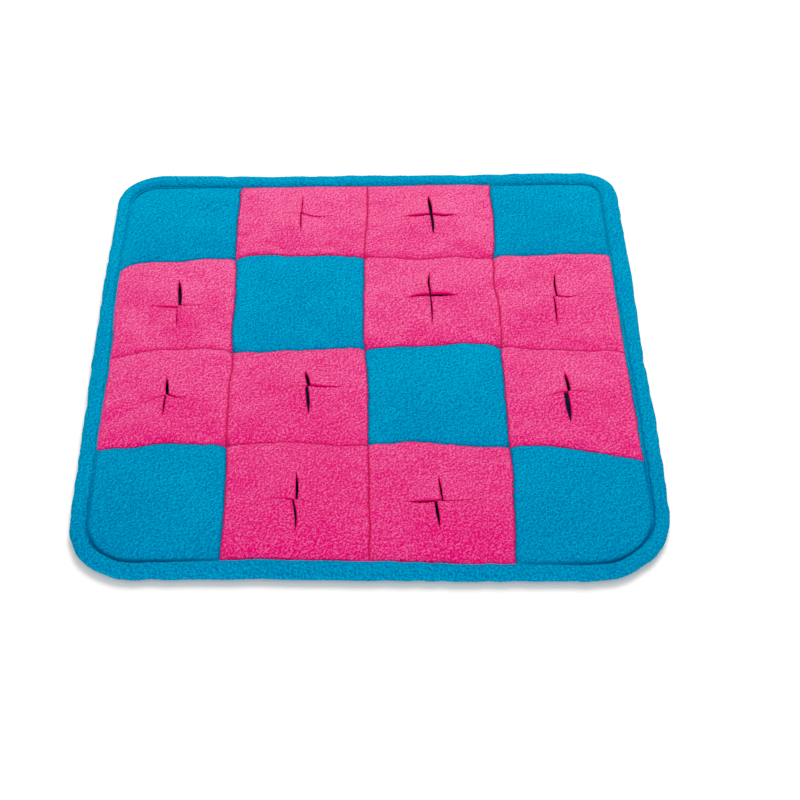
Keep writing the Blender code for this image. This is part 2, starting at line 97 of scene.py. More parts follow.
def area_lamp(name, place, aim, size, power):
    lamp = bpy.data.lights.new(name, "AREA")
    lamp.size = size
    lamp.energy = power
    holder = bpy.data.objects.new(name, lamp)
    holder.location = place
    holder.rotation_euler = (Vector(place) - Vector(aim)).to_track_quat("Z", "Y").to_euler()
    bpy.context.scene.collection.objects.link(holder)


area_lamp("key_lamp", (0.4, 1.6, 2.1), (0.0, 0.0, 0.0), size=1.6, power=67.0)
area_lamp("front_lamp", (-0.2, -2.0, 0.5), (0.0, 0.0, 0.0), size=1.0, power=30.0)

sky = bpy.data.worlds.new("studio")
sky.use_nodes = True
backdrop = sky.node_tree.nodes["Background"]
backdrop.inputs["Color"].default_value = (1.0, 1.0, 1.0, 1.0)
backdrop.inputs["Strength"].default_value = SKY_STRENGTH
bpy.context.scene.world = sky
bpy.context.scene.view_settings.view_transform = "Standard"
bpy.context.scene.view_settings.look = "None"
print("lamps:", [lamp.name for lamp in bpy.data.lights])

# %% The floor
FLOOR_HALF, FLOOR_DROP = 3.0, 0.0001
PALE_FLOOR = (0.88, 0.84, 0.80)


def plain_material(name, colour, roughness):
    material = bpy.data.materials.new(name)
    material.use_nodes = True
    shader = material.node_tree.nodes["Principled BSDF"]
    shader.inputs["Base Color"].default_value = (*colour, 1.0)
    shader.inputs["Roughness"].default_value = roughness
    shader.inputs["Specular IOR Level"].default_value = 0.0
    return material


floor_mesh = bpy.data.meshes.new("floor")
corners = [(a * FLOOR_HALF, b * FLOOR_HALF, -FLOOR_DROP) for a, b in ((-1, -1), (1, -1), (1, 1), (-1, 1))]
floor_mesh.from_pydata(corners, [], [(0, 1, 2, 3)])
floor_mesh.materials.append(plain_material("pale_floor", PALE_FLOOR, 1.0))
floor = bpy.data.objects.new("floor", floor_mesh)
bpy.context.scene.collection.objects.link(floor)
print("floor is", 2 * FLOOR_HALF, "m wide")

# %% [markdown]
# ## The mat's own sizes
#
# Everything below is in millimetres until a mesh is written. These are the sizes of the real cloth and
# where each layer lies in the folded edge, from the floor up: binding, backing, patch, binding. The
# stitches squeeze the layers there, so each is thinner than in the open.

# %% Cloth sizes
HALF_MAT = 150.0            # from the middle to a side
STRAIGHT = 110.0            # the tables along a side reach this far each way
GAP = 0.2                   # room between two layers
BACKING_CLOTH = 1.4         # thickness of the backing
PATCH_CLOTH = 2.2           # of a fleece patch in the open
RIM_CLOTH = 1.1             # of a patch under the binding
BINDING_CLOTH = 1.3         # of the binding's strip
TUCK = 3.6                  # the patches and the backing end this far in from the outline
RAMP_OUTER = 13.0           # from here in, the backing sinks to the floor
RAMP_INNER = 19.0           # and here it lies on it
BACKING_EDGE = BINDING_CLOTH + GAP
TUCKED_TOP = BACKING_EDGE + BACKING_CLOTH + GAP + RIM_CLOTH
FLANGE = TUCKED_TOP + GAP
ROLL_TOP = FLANGE + 2.7
print(f"edge of the mat is {ROLL_TOP:.1f} mm high, patches tuck in at {TUCKED_TOP:.1f} mm")

# %% [markdown]
# ## The outline
#
# A sewn mat is never a true square. Each side wavers a little, and each corner is rounded by its own
# radius. Five values along each side are enough: from left to right, or from front to back. The same
# kind of table says how wide the binding is, how wide a lip it leaves inside its line of stitches, how
# far the patches lift that line, and how dark a groove the stitches pull: how wide it is and how much painted
# shade darkens it.

# %% Tables along the sides
SIDE_BOW = {
    "front": (-0.6, -0.6, 0.5, 1.2, 1.2),
    "right": (-0.3, 0.3, -0.9, 0.0, -0.6),
    "back": (-1.0, -2.0, -1.1, -1.0, 0.9),
    "left": (-1.4, -0.9, -0.4, -0.3, -1.4),
}
BINDING_WIDTH = {
    "front": (8.8, 9.6, 9.4, 8.0, 8.0),
    "right": (8.2, 10.0, 9.7, 10.9, 10.4),
    "back": (12.0, 10.4, 10.5, 9.6, 12.0),
    "left": (8.8, 9.0, 9.6, 8.2, 8.5),
}
BINDING_LIP = {
    "front": (0.2, 0.0, 0.0, 0.0, 0.2),
    "right": (0.3, 1.6, 1.6, 0.4, 0.3),
    "back": (1.2, 0.3, 0.3, 0.3, 0.3),
    "left": (0.3, 0.3, 0.3, 0.8, 1.2),
}
BINDING_RISE = {
    "front": (0.0, 0.9, 0.9, 0.9, 0.0),
    "right": (0.0, 0.4, 0.5, 0.5, 0.5),
    "back": (0.8, 1.2, 1.2, 1.2, 0.8),
    "left": (0.0, 0.5, 0.5, 0.6, 0.8),
}
GROOVE = {
    "front": (0.5, 0.2, 0.1, 0.15, 0.9),
    "right": (1.0, 0.5, 0.2, 0.2, 0.3),
    "back": (0.25, 0.1, 0.1, 0.1, 0.25),
    "left": (0.7, 0.25, 0.2, 0.3, 0.3),
}
CORNER_RADIUS = {("right", "front"): 41.5, ("right", "back"): 21.0,
                 ("left", "back"): 26.5, ("left", "front"): 33.5}
every_width = [value for side in BINDING_WIDTH.values() for value in side]
print("the binding is", min(every_width), "to", max(every_width), "mm wide")


# %% Reading a table
def ease(value):
    t = np.clip(value, 0.0, 1.0)
    return t * t * (3.0 - 2.0 * t)


def side_value(table, side, place):
    """The value of a five-step side table at places along the side."""
    steps = np.array(table[side])
    t = np.clip((place + STRAIGHT) / (2.0 * STRAIGHT), 0.0, 1.0) * (len(steps) - 1)
    first = np.minimum(t.astype(int) if np.ndim(t) else int(t), len(steps) - 2)
    return steps[first] + (steps[first + 1] - steps[first]) * ease(t - first)


def reach(side, place):
    """How far a side lies from the middle of the mat."""
    return HALF_MAT + side_value(SIDE_BOW, side, place)


print("middle of the right side is", round(float(reach("right", 0.0)), 1), "mm out")

# %% Distance from the outline
def past_centre(x, y):
    """How far points lie past their corner's centre, in x and y, and the corner's radius."""
    right, back = x >= 0.0, y >= 0.0
    radius = np.where(right, *(np.where(back, CORNER_RADIUS[side, "back"], CORNER_RADIUS[side, "front"])
                               for side in ("right", "left")))
    reach_x = np.where(right, reach("right", y), reach("left", y))
    reach_y = np.where(back, reach("back", x), reach("front", x))
    return np.abs(x) - reach_x + radius, np.abs(y) - reach_y + radius, radius


def edge_distance(x, y):
    """Distance in from the outline."""
    past_x, past_y, radius = past_centre(x, y)
    outside = np.hypot(np.maximum(past_x, 0.0), np.maximum(past_y, 0.0))
    return radius - outside - np.minimum(np.maximum(past_x, past_y), 0.0)


def side_table_at(table, x, y):
    """A side table's value at any point, carried round the corners."""
    past_x, past_y, _ = past_centre(x, y)
    by_x = np.where(x >= 0.0, side_value(table, "right", y), side_value(table, "left", y))
    by_y = np.where(y >= 0.0, side_value(table, "back", x), side_value(table, "front", x))
    turn = np.arctan2(np.maximum(past_y, 1e-6), np.maximum(past_x, 1e-6)) / (0.5 * math.pi)
    in_corner = (past_x > 0.0) & (past_y > 0.0)
    return np.where(in_corner, by_x + (by_y - by_x) * turn, np.where(past_x > past_y, by_x, by_y))


def round_corner(x, y):
    """Draw square corners in to the rounded corners that the binding follows."""
    past_x, past_y, radius = past_centre(x, y)
    inner = radius - TUCK
    in_corner = (past_x > 0.0) & (past_y > 0.0)
    a = np.where(in_corner, past_x / inner, 0.0)
    b = np.where(in_corner, past_y / inner, 0.0)
    drawn_x = inner * a * np.sqrt(1.0 - 0.5 * b * b)
    drawn_y = inner * b * np.sqrt(1.0 - 0.5 * a * a)
    moved_x = x + np.sign(x) * (drawn_x - past_x)
    moved_y = y + np.sign(y) * (drawn_y - past_y)
    return np.where(in_corner, moved_x, x), np.where(in_corner, moved_y, y)


def backing_top(inward):
    """Height of the backing's upper face, by the distance in from the outline."""
    raised = np.clip((RAMP_INNER - inward) / (RAMP_INNER - RAMP_OUTER), 0.0, 1.0)
    return BACKING_CLOTH + BACKING_EDGE * raised


print("the middle of the mat is", round(float(edge_distance(0.0, 0.0)), 1), "mm in from its outline")

# %% [markdown]
# ## The grain of the fleece
#
# Fleece is knitted, brushed and tumbled until its pile balls up into small curls, about 2 mm apart.
# Between them the eye sees deeper, stronger colour. One field of noise makes both: it pushes the cloth
# up and down, and it is kept on each point as the number `pile`, which the material turns into colour.
#
# Noise of one size only is made by filtering white noise: keep the wavelengths near 2 mm, drop the rest.
# Brushing combs the curls one way, so they are a little longer along a slant. A second, finer noise
# breaks them up, or they would look like worms. Three wider fields are for wavering edges, puckers and
# swells.

# %% Noise of one size
FIELD_CELL, FIELD_SIZE = 0.32, 1024


def noise_field(seed, long_wave, short_wave, spread, lean=0.0):
    """A square of noise whose waves are near the given lengths in mm, with a spread of 1. The long
    ones run along a line that leans by this angle from the way to the right."""
    white = np.random.default_rng(seed).standard_normal((FIELD_SIZE, FIELD_SIZE))
    waves = np.fft.fftfreq(FIELD_SIZE, FIELD_CELL)
    turned = np.exp(-1j * math.radians(lean)) * (waves[:, None] + 1j * waves[None, :])
    tune = np.hypot(turned.real * long_wave, turned.imag * short_wave)
    keep = np.exp(-((tune - 1.0) / spread) ** 2)
    field = np.fft.ifft2(np.fft.fft2(white) * keep).real
    return field / field.std()


def sample(field, x, y):
    """Read a noise field at points, blending its four nearest cells."""
    gx, gy = np.asarray(x) / FIELD_CELL, np.asarray(y) / FIELD_CELL
    ix, iy = np.floor(gx).astype(int), np.floor(gy).astype(int)
    fx, fy = gx - ix, gy - iy
    ix, iy = ix % FIELD_SIZE, iy % FIELD_SIZE
    jx, jy = (ix + 1) % FIELD_SIZE, (iy + 1) % FIELD_SIZE
    low = field[ix, iy] * (1 - fx) + field[jx, iy] * fx
    high = field[ix, jy] * (1 - fx) + field[jx, jy] * fx
    return low * (1 - fy) + high * fy


CURLS = 0.75 * noise_field(11, 2.3, 1.4, 0.75, lean=-52.0) + 0.6 * noise_field(15, 1.25, 1.0, 0.7, lean=-40.0)
WAVER = noise_field(12, 2.6, 2.6, 0.5)
PUCKER = noise_field(13, 13.0, 13.0, 0.5)
SWELL = noise_field(14, 38.0, 38.0, 0.6)
CURL_HEIGHT = 0.11
print("grain field covers", round(FIELD_CELL * FIELD_SIZE), "mm each way")

# %% [markdown]
# ## The materials
#
# Each fleece has three colours: deep between the curls, the body of the cloth, and the tips that catch
# the light. A colour ramp reads them from `pile` plus a finer noise for single fibres and a broad one
# for patchy cloth. On top comes a painted sheen: it whitens the cloth more and more towards the back of
# the mat, where the lamp grazes it, and most where a curl turns to the back or the sides, which each point
# keeps as `turn`. That painted sheen is added to the colour.
#
# The pile is pressed together in a seam, and painted shade darkens the cloth there, as it does in the
# groove by the binding and beside the cuts. The shader has no gloss at all. The loose fibres on top catch
# light that grazes the cloth, which a little sheen gives. In a seam they are pressed flat, so those faces
# take a twin without sheen.

# %% Material helpers
BUMP_DEPTH = 0.2


def add(tree, kind, **settings):
    node = tree.nodes.new(kind)
    for name, value in settings.items():
        setattr(node, name, value)
    return node


def noise_node(tree, scale, detail):
    place = add(tree, "ShaderNodeTexCoord")
    noise = add(tree, "ShaderNodeTexNoise")
    noise.inputs["Scale"].default_value = scale
    noise.inputs["Detail"].default_value = detail
    tree.links.new(place.outputs["Object"], noise.inputs["Vector"])
    return noise.outputs["Fac"]


def feed(tree, sockets, values):
    """Set each socket to its number or colour, or link it to the output given."""
    for socket, value in zip(sockets, values):
        if isinstance(value, (float, tuple)):
            socket.default_value = value
        else:
            tree.links.new(value, socket)


def math_node(tree, operation, *values):
    node = add(tree, "ShaderNodeMath", operation=operation)
    feed(tree, node.inputs, values)
    return node.outputs[0]


def blend_node(tree, mode, factor, a, b):
    node = add(tree, "ShaderNodeMix", data_type="RGBA", blend_type=mode)
    feed(tree, (node.inputs[0], node.inputs[6], node.inputs[7]), (factor, a, b))
    return node.outputs[2]


def attribute(tree, name):
    return add(tree, "ShaderNodeAttribute", attribute_name=name).outputs["Fac"]


def bump_shader(tree, shader, height, strength):
    bump = add(tree, "ShaderNodeBump")
    bump.inputs["Strength"].default_value = strength
    bump.inputs["Distance"].default_value = BUMP_DEPTH * MM
    tree.links.new(height, bump.inputs["Height"])
    tree.links.new(bump.outputs["Normal"], shader.inputs["Normal"])


print("bumps are", BUMP_DEPTH, "mm deep")


# %% Fleece
FIBRE_SCALE, PATCHY_SCALE = 1300.0, 28.0
# pile runs from about -3 to 3, and the ramp from 0 to 1
PILE_SHARE, FIBRE_SHARE, PATCHY_SHARE = 0.45, 2.3, 0.40
DEEP_AT, TIP_AT = 0.06, 0.94


def pile_level(tree, fibres):
    """How high in the pile a spot is: the curls, single fibres and patchy cloth together."""
    pile = attribute(tree, "pile")
    level = math_node(tree, "MULTIPLY_ADD", pile, PILE_SHARE, 0.5)
    for noise, share in ((fibres, FIBRE_SHARE), (noise_node(tree, PATCHY_SCALE, 3.0), PATCHY_SHARE)):
        centred = math_node(tree, "SUBTRACT", noise, 0.5)
        level = math_node(tree, "ADD", level, math_node(tree, "MULTIPLY", centred, share))
    return level


pile_range = [round((at - 0.5) / PILE_SHARE, 1) for at in (DEEP_AT, TIP_AT)]
print("the ramp reads pile from", pile_range[0], "to", pile_range[1])


# %% The painted sheen
SHEEN_PAINT_GROWTH = 0.8                      # how evenly the painted sheen grows from the front to the back
TURN_FRONT, TURN_GROWTH = 0.1, 0.6      # how much the turn towards the lamp counts in the painted sheen, at the front and further back
SHEEN_PAINT_LOW, SHEEN_PAINT_LEVEL = 0.3, 0.7       # the painted sheen is stronger on the tips of the pile than in its depths


def painted_sheen(tree, level):
    """How much painted sheen whitens a spot: 0 at the front of the mat, and most at its back."""
    split = add(tree, "ShaderNodeSeparateXYZ")
    tree.links.new(add(tree, "ShaderNodeTexCoord").outputs["Object"], split.inputs[0])
    depth = math_node(tree, "MULTIPLY_ADD", split.outputs["Y"], 1.0 / (2 * HALF_MAT * MM), 0.5)
    further = math_node(tree, "POWER", math_node(tree, "MAXIMUM", depth, 0.0), SHEEN_PAINT_GROWTH)
    lamp_turn_share = math_node(tree, "MULTIPLY_ADD", further, TURN_GROWTH, TURN_FRONT)
    turned = math_node(tree, "MULTIPLY", lamp_turn_share, attribute(tree, "turn"))
    painted_sheen_amount = math_node(tree, "MAXIMUM", math_node(tree, "ADD", further, turned), 0.0)
    return math_node(tree, "MULTIPLY", painted_sheen_amount, math_node(tree, "MULTIPLY_ADD", level, SHEEN_PAINT_LEVEL, SHEEN_PAINT_LOW))


print("the turn of a curl counts", TURN_FRONT, "at the front and", TURN_FRONT + TURN_GROWTH, "at the back")


# %% The two fleeces
FIBRE_BUMP, FUZZ_SPREAD = 0.25, 0.42


def fleece_material(name, deep, body, tip, painted_sheen_colour, shaded, fuzz):
    material = plain_material(name, body, 1.0)
    tree = material.node_tree
    shader = tree.nodes["Principled BSDF"]
    fibres = noise_node(tree, FIBRE_SCALE, 2.0)
    level = pile_level(tree, fibres)
    ramp = add(tree, "ShaderNodeValToRGB")
    tree.links.new(level, ramp.inputs["Fac"])
    ends = ramp.color_ramp.elements
    ends[0].position, ends[0].color = DEEP_AT, (*deep, 1.0)
    ends[1].position, ends[1].color = TIP_AT, (*tip, 1.0)
    ends.new(0.5).color = (*body, 1.0)
    # painted sheen: the colour is whitened towards the back and where the cloth turns to the lamp
    colour = blend_node(tree, "ADD", painted_sheen(tree, level), ramp.outputs["Color"], (*painted_sheen_colour, 1.0))
    # painted shade: seams, grooves and cuts take the darker shaded colour
    colour = blend_node(tree, "MIX", attribute(tree, "painted_shade"), colour, (*shaded, 1.0))
    tree.links.new(colour, shader.inputs["Base Color"])
    bump_shader(tree, shader, fibres, FIBRE_BUMP)
    shader.inputs["Sheen Weight"].default_value = fuzz
    shader.inputs["Sheen Roughness"].default_value = FUZZ_SPREAD
    shader.inputs["Sheen Tint"].default_value = (float(painted_sheen_colour[0] > 0.0), 1.0, 1.0, 1.0)
    return material


# the colours: deep, body, tip, painted sheen and painted shade
BLUE = ((0.0, 0.112, 0.270), (0.0, 0.174, 0.334), (0.0, 0.244, 0.408), (0.0, 0.060, 0.064),
        (0.0, 0.092, 0.246))
PINK = ((0.500, 0.0, 0.092), (0.535, 0.005, 0.140), (0.590, 0.076, 0.218), (0.080, 0.068, 0.081),
        (0.530, 0.0, 0.086))
BLUE_FLEECE, PRESSED_BLUE = (fleece_material("blue_fleece", *BLUE, 0.12),
                             fleece_material("pressed_blue_fleece", *BLUE, 0.0))
PINK_FLEECE, PRESSED_PINK = (fleece_material("pink_fleece", *PINK, 0.03),
                             fleece_material("pressed_pink_fleece", *PINK, 0.0))
# the cut faces are a brighter pink than the cloth: painted light, for light shining through the fleece at its
# cut edge
PAINTED_LIGHT_CUT_PINK = plain_material("pink_cut_edge_painted_light", (0.66, 0.0, 0.13), 1.0)
print("fleeces:", [fleece.name for fleece in (BLUE_FLEECE, PRESSED_BLUE, PINK_FLEECE, PRESSED_PINK)])


# %% Backing cloth
THREAD_SCALE, THREAD_WAVER, WEAVE_BUMP = 320.0, 0.6, 0.6
DARK_NAVY, PALE_NAVY = (0.012, 0.018, 0.062, 1.0), (0.040, 0.052, 0.170, 1.0)


def backing_material():
    """A close weave: bands of thread both ways, brightest where two threads cross on top."""
    material = plain_material("navy_cloth", DARK_NAVY[:3], 0.9)
    tree = material.node_tree
    shader = tree.nodes["Principled BSDF"]
    place = add(tree, "ShaderNodeTexCoord")
    threads = []
    for direction in ("X", "Y"):
        wave = add(tree, "ShaderNodeTexWave", wave_type="BANDS", bands_direction=direction)
        wave.inputs["Scale"].default_value = THREAD_SCALE
        wave.inputs["Distortion"].default_value = THREAD_WAVER
        tree.links.new(place.outputs["Object"], wave.inputs["Vector"])
        threads.append(wave.outputs["Fac"])
    weave = math_node(tree, "MULTIPLY", *threads)
    tree.links.new(blend_node(tree, "MIX", weave, DARK_NAVY, PALE_NAVY), shader.inputs["Base Color"])
    bump_shader(tree, shader, weave, WEAVE_BUMP)
    return material


NAVY_CLOTH = backing_material()
BLUE_THREAD = plain_material("blue_thread", (0.0, 0.10, 0.26), 0.8)
print("materials:", [material.name for material in bpy.data.materials])

# %% [markdown]
# ## The net of seams
#
# The patches are cut by hand and sewn in rows, so the seams wander. Nine crossings, the ends of the
# seams, and five small steps aside for each stretch between them describe the whole net. Where three of
# the seams meet the binding, they turn aside and round off the corner of a pink patch. A patch is then
# the blend of its four sides, with `u` from its left to its right and `v` from its front to its back.

# %% Seams
ROW_SEAMS = (
    # column 1 x, y, column 2 x, y, column 3 x, y, y at the left end, y at the right end
    (-76.4, 76.4, -2.1, 77.0, 71.8, 76.3, 67.1, 76.5),
    (-74.0, 1.8, -1.9, 3.6, 72.3, 5.1, -4.5, -2.7),
    (-74.0, -65.4, -0.6, -65.1, 72.6, -67.0, -71.8, -79.8),
)
COLUMN_ENDS = ((-76.2, -72.8), (-0.4, 0.9), (74.0, 71.0))
ROW_WANDER = (
    # how far back each stretch of a row seam strays from straight, at five even steps
    ((2.1, 2.7, 0.3, 0.6, 0.5), (1.5, 1.4, 0.5, 0.6, 0.4), (-1.5, -2.5, -2.6, -0.7, -1.1),
     (1.0, 0.2, 1.4, 1.4, 1.4)),
    ((1.0, 3.0, 3.9, 3.2, 2.0), (-2.1, -1.6, -1.4, -1.1, -0.1), (0.1, 0.2, 0.4, 2.0, 2.0),
     (-1.0, -1.1, -0.7, 0.2, 1.4)),
    ((2.9, 2.1, 3.1, 2.4, 1.0), (0.1, 0.8, 0.4, -0.5, -2.1), (0.2, 1.7, 0.1, -0.9, -1.6),
     (2.0, 3.0, 3.0, 1.9, 2.3)),
)
COLUMN_WANDER = (
    # how far right each stretch of a column seam strays, from its back end to its front end
    ((-0.2, 0.3, -0.2, 0.0, 0.0), (0.8, 0.7, 0.6, -0.3, -0.8), (0.5, -0.3, -0.4, -0.2, -0.1),
     (0.9, 1.0, 0.9, 0.7, 0.1)),
    ((0.5, 0.8, 1.0, 0.5, 0.0), (-0.2, -0.1, -0.6, -0.5, -0.9), (0.2, 0.8, 0.9, 0.6, 0.3),
     (0.0, -0.1, -0.4, -0.1, -0.9)),
    ((-0.5, 0.1, 1.2, 1.3, 1.2), (-0.2, -0.8, 0.7, 0.9, 1.0), (-0.3, 0.1, 0.0, 0.1, 0.0),
     (0.8, 0.8, 0.5, 0.5, -0.1)),
)
print("row seams:", len(ROW_SEAMS), "column seams:", len(COLUMN_ENDS))


# %% How a seam strays
def wander(steps, t):
    """A smooth line from 0 to 0 through five evenly spaced values, as a sum of five sine waves."""
    number = np.arange(1, 6)
    weights = np.sin(math.pi * np.outer(number, number) / 6.0) @ np.array(steps) / 3.0
    return sum(weight * np.sin(math.pi * k * t) for k, weight in zip(number, weights))


SEAM_TURNS = {
    # (which seams, number, stretch, end 0 or 1): length under the binding, how far aside, over what length
    ("row", 1, 0, 0): (5.0, -4.4, 1.8),
    ("row", 1, 3, 1): (6.8, -1.6, 1.2),
    ("column", 1, 0, 0): (6.6, 2.6, 1.8),
}


def corner_turn(kind, number, stretch, length, t):
    """How far a seam turns aside where it meets the binding."""
    stray = 0.0 * t
    for end in (0, 1):
        if (kind, number, stretch, end) in SEAM_TURNS:
            hidden, most, fade = SEAM_TURNS[kind, number, stretch, end]
            seen = np.maximum(abs(t - end) * length - hidden, 0.0)
            stray = stray + most * np.exp(-seen / fade)
    return stray


print("a seam turns", SEAM_TURNS["row", 1, 0, 0][1], "mm aside at the left of the second row")


# %% The four sides of a patch
def net_point(row, column):
    """A corner of the net. Row 0 is the back edge, row 4 the front, column 0 the left."""
    if 1 <= row <= 3 and 1 <= column <= 3:
        return ROW_SEAMS[row - 1][2 * column - 2: 2 * column]
    side_x, sign_x = ("left", -1) if column == 0 else ("right", 1)
    side_y, sign_y = ("back", 1) if row == 0 else ("front", -1)
    if 1 <= row <= 3:
        y = ROW_SEAMS[row - 1][6 if column == 0 else 7]
        return sign_x * (reach(side_x, y) - TUCK), y
    if 1 <= column <= 3:
        x = COLUMN_ENDS[column - 1][0 if row == 0 else 1]
    else:
        x = sign_x * (reach(side_x, sign_y * HALF_MAT) - TUCK)
    return x, sign_y * (reach(side_y, x) - TUCK)


def row_line(row, column, t):
    """Points on the seam behind a row of patches, or on the tucked edge past the last one."""
    (ax, ay), (bx, by) = net_point(row, column), net_point(row, column + 1)
    x = ax + (bx - ax) * t
    if row in (0, 4):
        return x, (reach("back", x) - TUCK) if row == 0 else -(reach("front", x) - TUCK)
    y = ay + (by - ay) * t + wander(ROW_WANDER[row - 1][column], t)
    return x, y + corner_turn("row", row, column, bx - ax, t)


def column_line(row, column, t):
    """Points on the seam at the left of a patch, from its back end to its front end."""
    (ax, ay), (bx, by) = net_point(row, column), net_point(row + 1, column)
    y = ay + (by - ay) * t
    if column in (0, 4):
        return -(reach("left", y) - TUCK) if column == 0 else (reach("right", y) - TUCK), y
    x = ax + (bx - ax) * t + wander(COLUMN_WANDER[column - 1][row], t)
    return x + corner_turn("column", column, row, ay - by, t), y


print("the second patch of the back row starts", round(net_point(0, 1)[0], 1), "mm from the middle")


# %% A patch on the net
def plan(row, column, u, v):
    """Where points of a patch lie: its four sides, blended."""
    front, back = row_line(row, column - 1, u), row_line(row - 1, column - 1, u)
    left, right = column_line(row - 1, column - 1, 1.0 - v), column_line(row - 1, column, 1.0 - v)
    corner = [[net_point(row - 1 + a, column - 1 + b) for b in (0, 1)] for a in (0, 1)]
    spot = []
    for axis in (0, 1):
        far = corner[0][0][axis] * (1 - u) + corner[0][1][axis] * u
        near = corner[1][0][axis] * (1 - u) + corner[1][1][axis] * u
        across = front[axis] * (1 - v) + back[axis] * v
        along = left[axis] * (1 - u) + right[axis] * u
        spot.append(across + along - (near * (1 - v) + far * v))
    return spot


def patch_size(row, column):
    """Mean width and depth of a patch, in mm."""
    (x0, _), (x1, _) = plan(row, column, 0.0, 0.5), plan(row, column, 1.0, 0.5)
    (_, y0), (_, y1) = plan(row, column, 0.5, 0.0), plan(row, column, 0.5, 1.0)
    return float(x1 - x0), float(y1 - y0)


def locate(row, column, x, y):
    """The u and v of one point, by a few rounds of correction."""
    width, depth = patch_size(row, column)
    u = v = 0.5
    for _ in range(6):
        here = plan(row, column, u, v)
        u, v = u + (x - here[0]) / width, v + (y - here[1]) / depth
    return float(u), float(v)


print("first patch is", [round(s, 1) for s in patch_size(1, 1)], "mm with its tucked edges")

# %% [markdown]
# ## The crosses of cuts
#
# A cross frees four triangular flaps. Fleece does not fray, so the cuts are clean, but the flaps never
# close again exactly: each has slid a little and curled up or sunk. For each cross, one table gives the
# reach of its four cuts, one how they bow, and one how its flaps lie. The cloth beside a cut is
# darkened with painted shade.

# %% Cuts and flaps
SLIT_ARMS = {
    # (row, column): centre x, y, back dx, dy, front dx, dy, left dx, dy, right dx, dy
    (1, 2): (-39.2, 112.2, 0.5, 15.5, 0.1, -15.4, -12.0, -0.1, 16.1, -1.5),
    (1, 3): (37.3, 111.0, -1.3, 16.6, 0.9, -16.0, -17.0, -2.0, 15.0, 0.3),
    (2, 1): (-105.3, 33.6, -1.6, 22.1, -0.1, -15.7, -15.3, 1.8, 13.5, 2.4),
    (2, 3): (34.9, 42.8, 0.2, 18.9, 0.4, -22.6, -13.2, -2.2, 15.4, 0.0),
    (2, 4): (104.6, 41.1, 1.6, 20.1, -0.3, -21.9, -13.3, 0.7, 15.7, 2.9),
    (3, 1): (-107.0, -32.8, -0.6, 12.2, -1.1, -13.6, -13.1, -4.6, 10.9, -0.7),
    (3, 2): (-32.4, -26.8, -1.4, 10.8, 0.8, -19.5, -12.6, -1.6, 19.0, 0.5),
    (3, 4): (105.3, -31.5, -0.3, 14.3, 0.1, -20.0, -13.2, -3.5, 15.2, 0.3),
    (4, 2): (-37.2, -104.0, 0.3, 17.7, 0.5, -19.5, -16.4, -0.2, 9.0, -1.3),
    (4, 3): (34.9, -105.4, 0.2, 17.0, -0.3, -16.1, -16.3, 0.2, 18.0, 2.1),
}
SLIT_BOWS = {
    # how far right the back and front cuts bow, and how far back the left and right ones do
    (1, 2): (0.1, 0.0, 0.0, -1.8), (1, 3): (0.2, 0.0, 0.0, -1.4), (2, 1): (0.2, -0.2, 0.0, -0.9),
    (2, 3): (-0.6, 0.0, 0.8, 0.0), (2, 4): (-0.3, 0.0, 0.0, -2.1), (3, 1): (0.0, 0.0, 0.4, -1.7),
    (3, 2): (0.0, 0.2, 0.0, -0.7), (3, 4): (0.0, 0.0, 0.3, 0.0), (4, 2): (0.3, 0.7, 0.8, 0.0),
    (4, 3): (0.1, 0.0, -0.6, -0.5),
}
SLIT_FLAPS = {
    # (row, column): gap back, front, left, right, step, rise back left, back right, front left, right
    (1, 2): (0.45, 0.65, 0.2, 0.5, 0.25, 0.0, 0.5, 0.1, -0.3),
    (1, 3): (2.1, 1.8, 1.3, 1.5, -0.3, 0.8, 0.8, -0.4, -0.4),
    (2, 1): (2.2, 0.6, 0.3, 0.4, 1.1, 0.0, 0.9, -1.2, 0.9),
    (2, 3): (1.2, 0.9, 1.3, 2.0, 0.0, 1.1, 1.1, -0.3, -0.4),
    (2, 4): (1.1, 0.9, 0.3, 0.4, 1.8, -0.1, 0.5, 0.0, -0.2),
    (3, 1): (1.8, 1.2, 0.3, 0.5, 1.1, -0.2, 0.9, -0.5, 0.2),
    (3, 2): (1.9, 1.9, 0.3, 0.7, 1.2, 0.0, 0.9, 0.2, -0.3),
    (3, 4): (2.0, 2.8, 0.4, 0.4, 1.8, 0.2, 0.3, -0.3, 0.3),
    (4, 2): (1.4, 1.2, 0.3, 0.3, 1.9, 0.3, 0.0, -0.2, 0.2),
    (4, 3): (1.2, 1.6, 1.6, 0.4, 3.4, 0.7, 0.0, -0.3, 0.2),
}
print("crosses:", len(SLIT_ARMS))


# %% Reading a cross
def unit(x, y):
    length = math.hypot(x, y)
    return np.array((x / length, y / length))


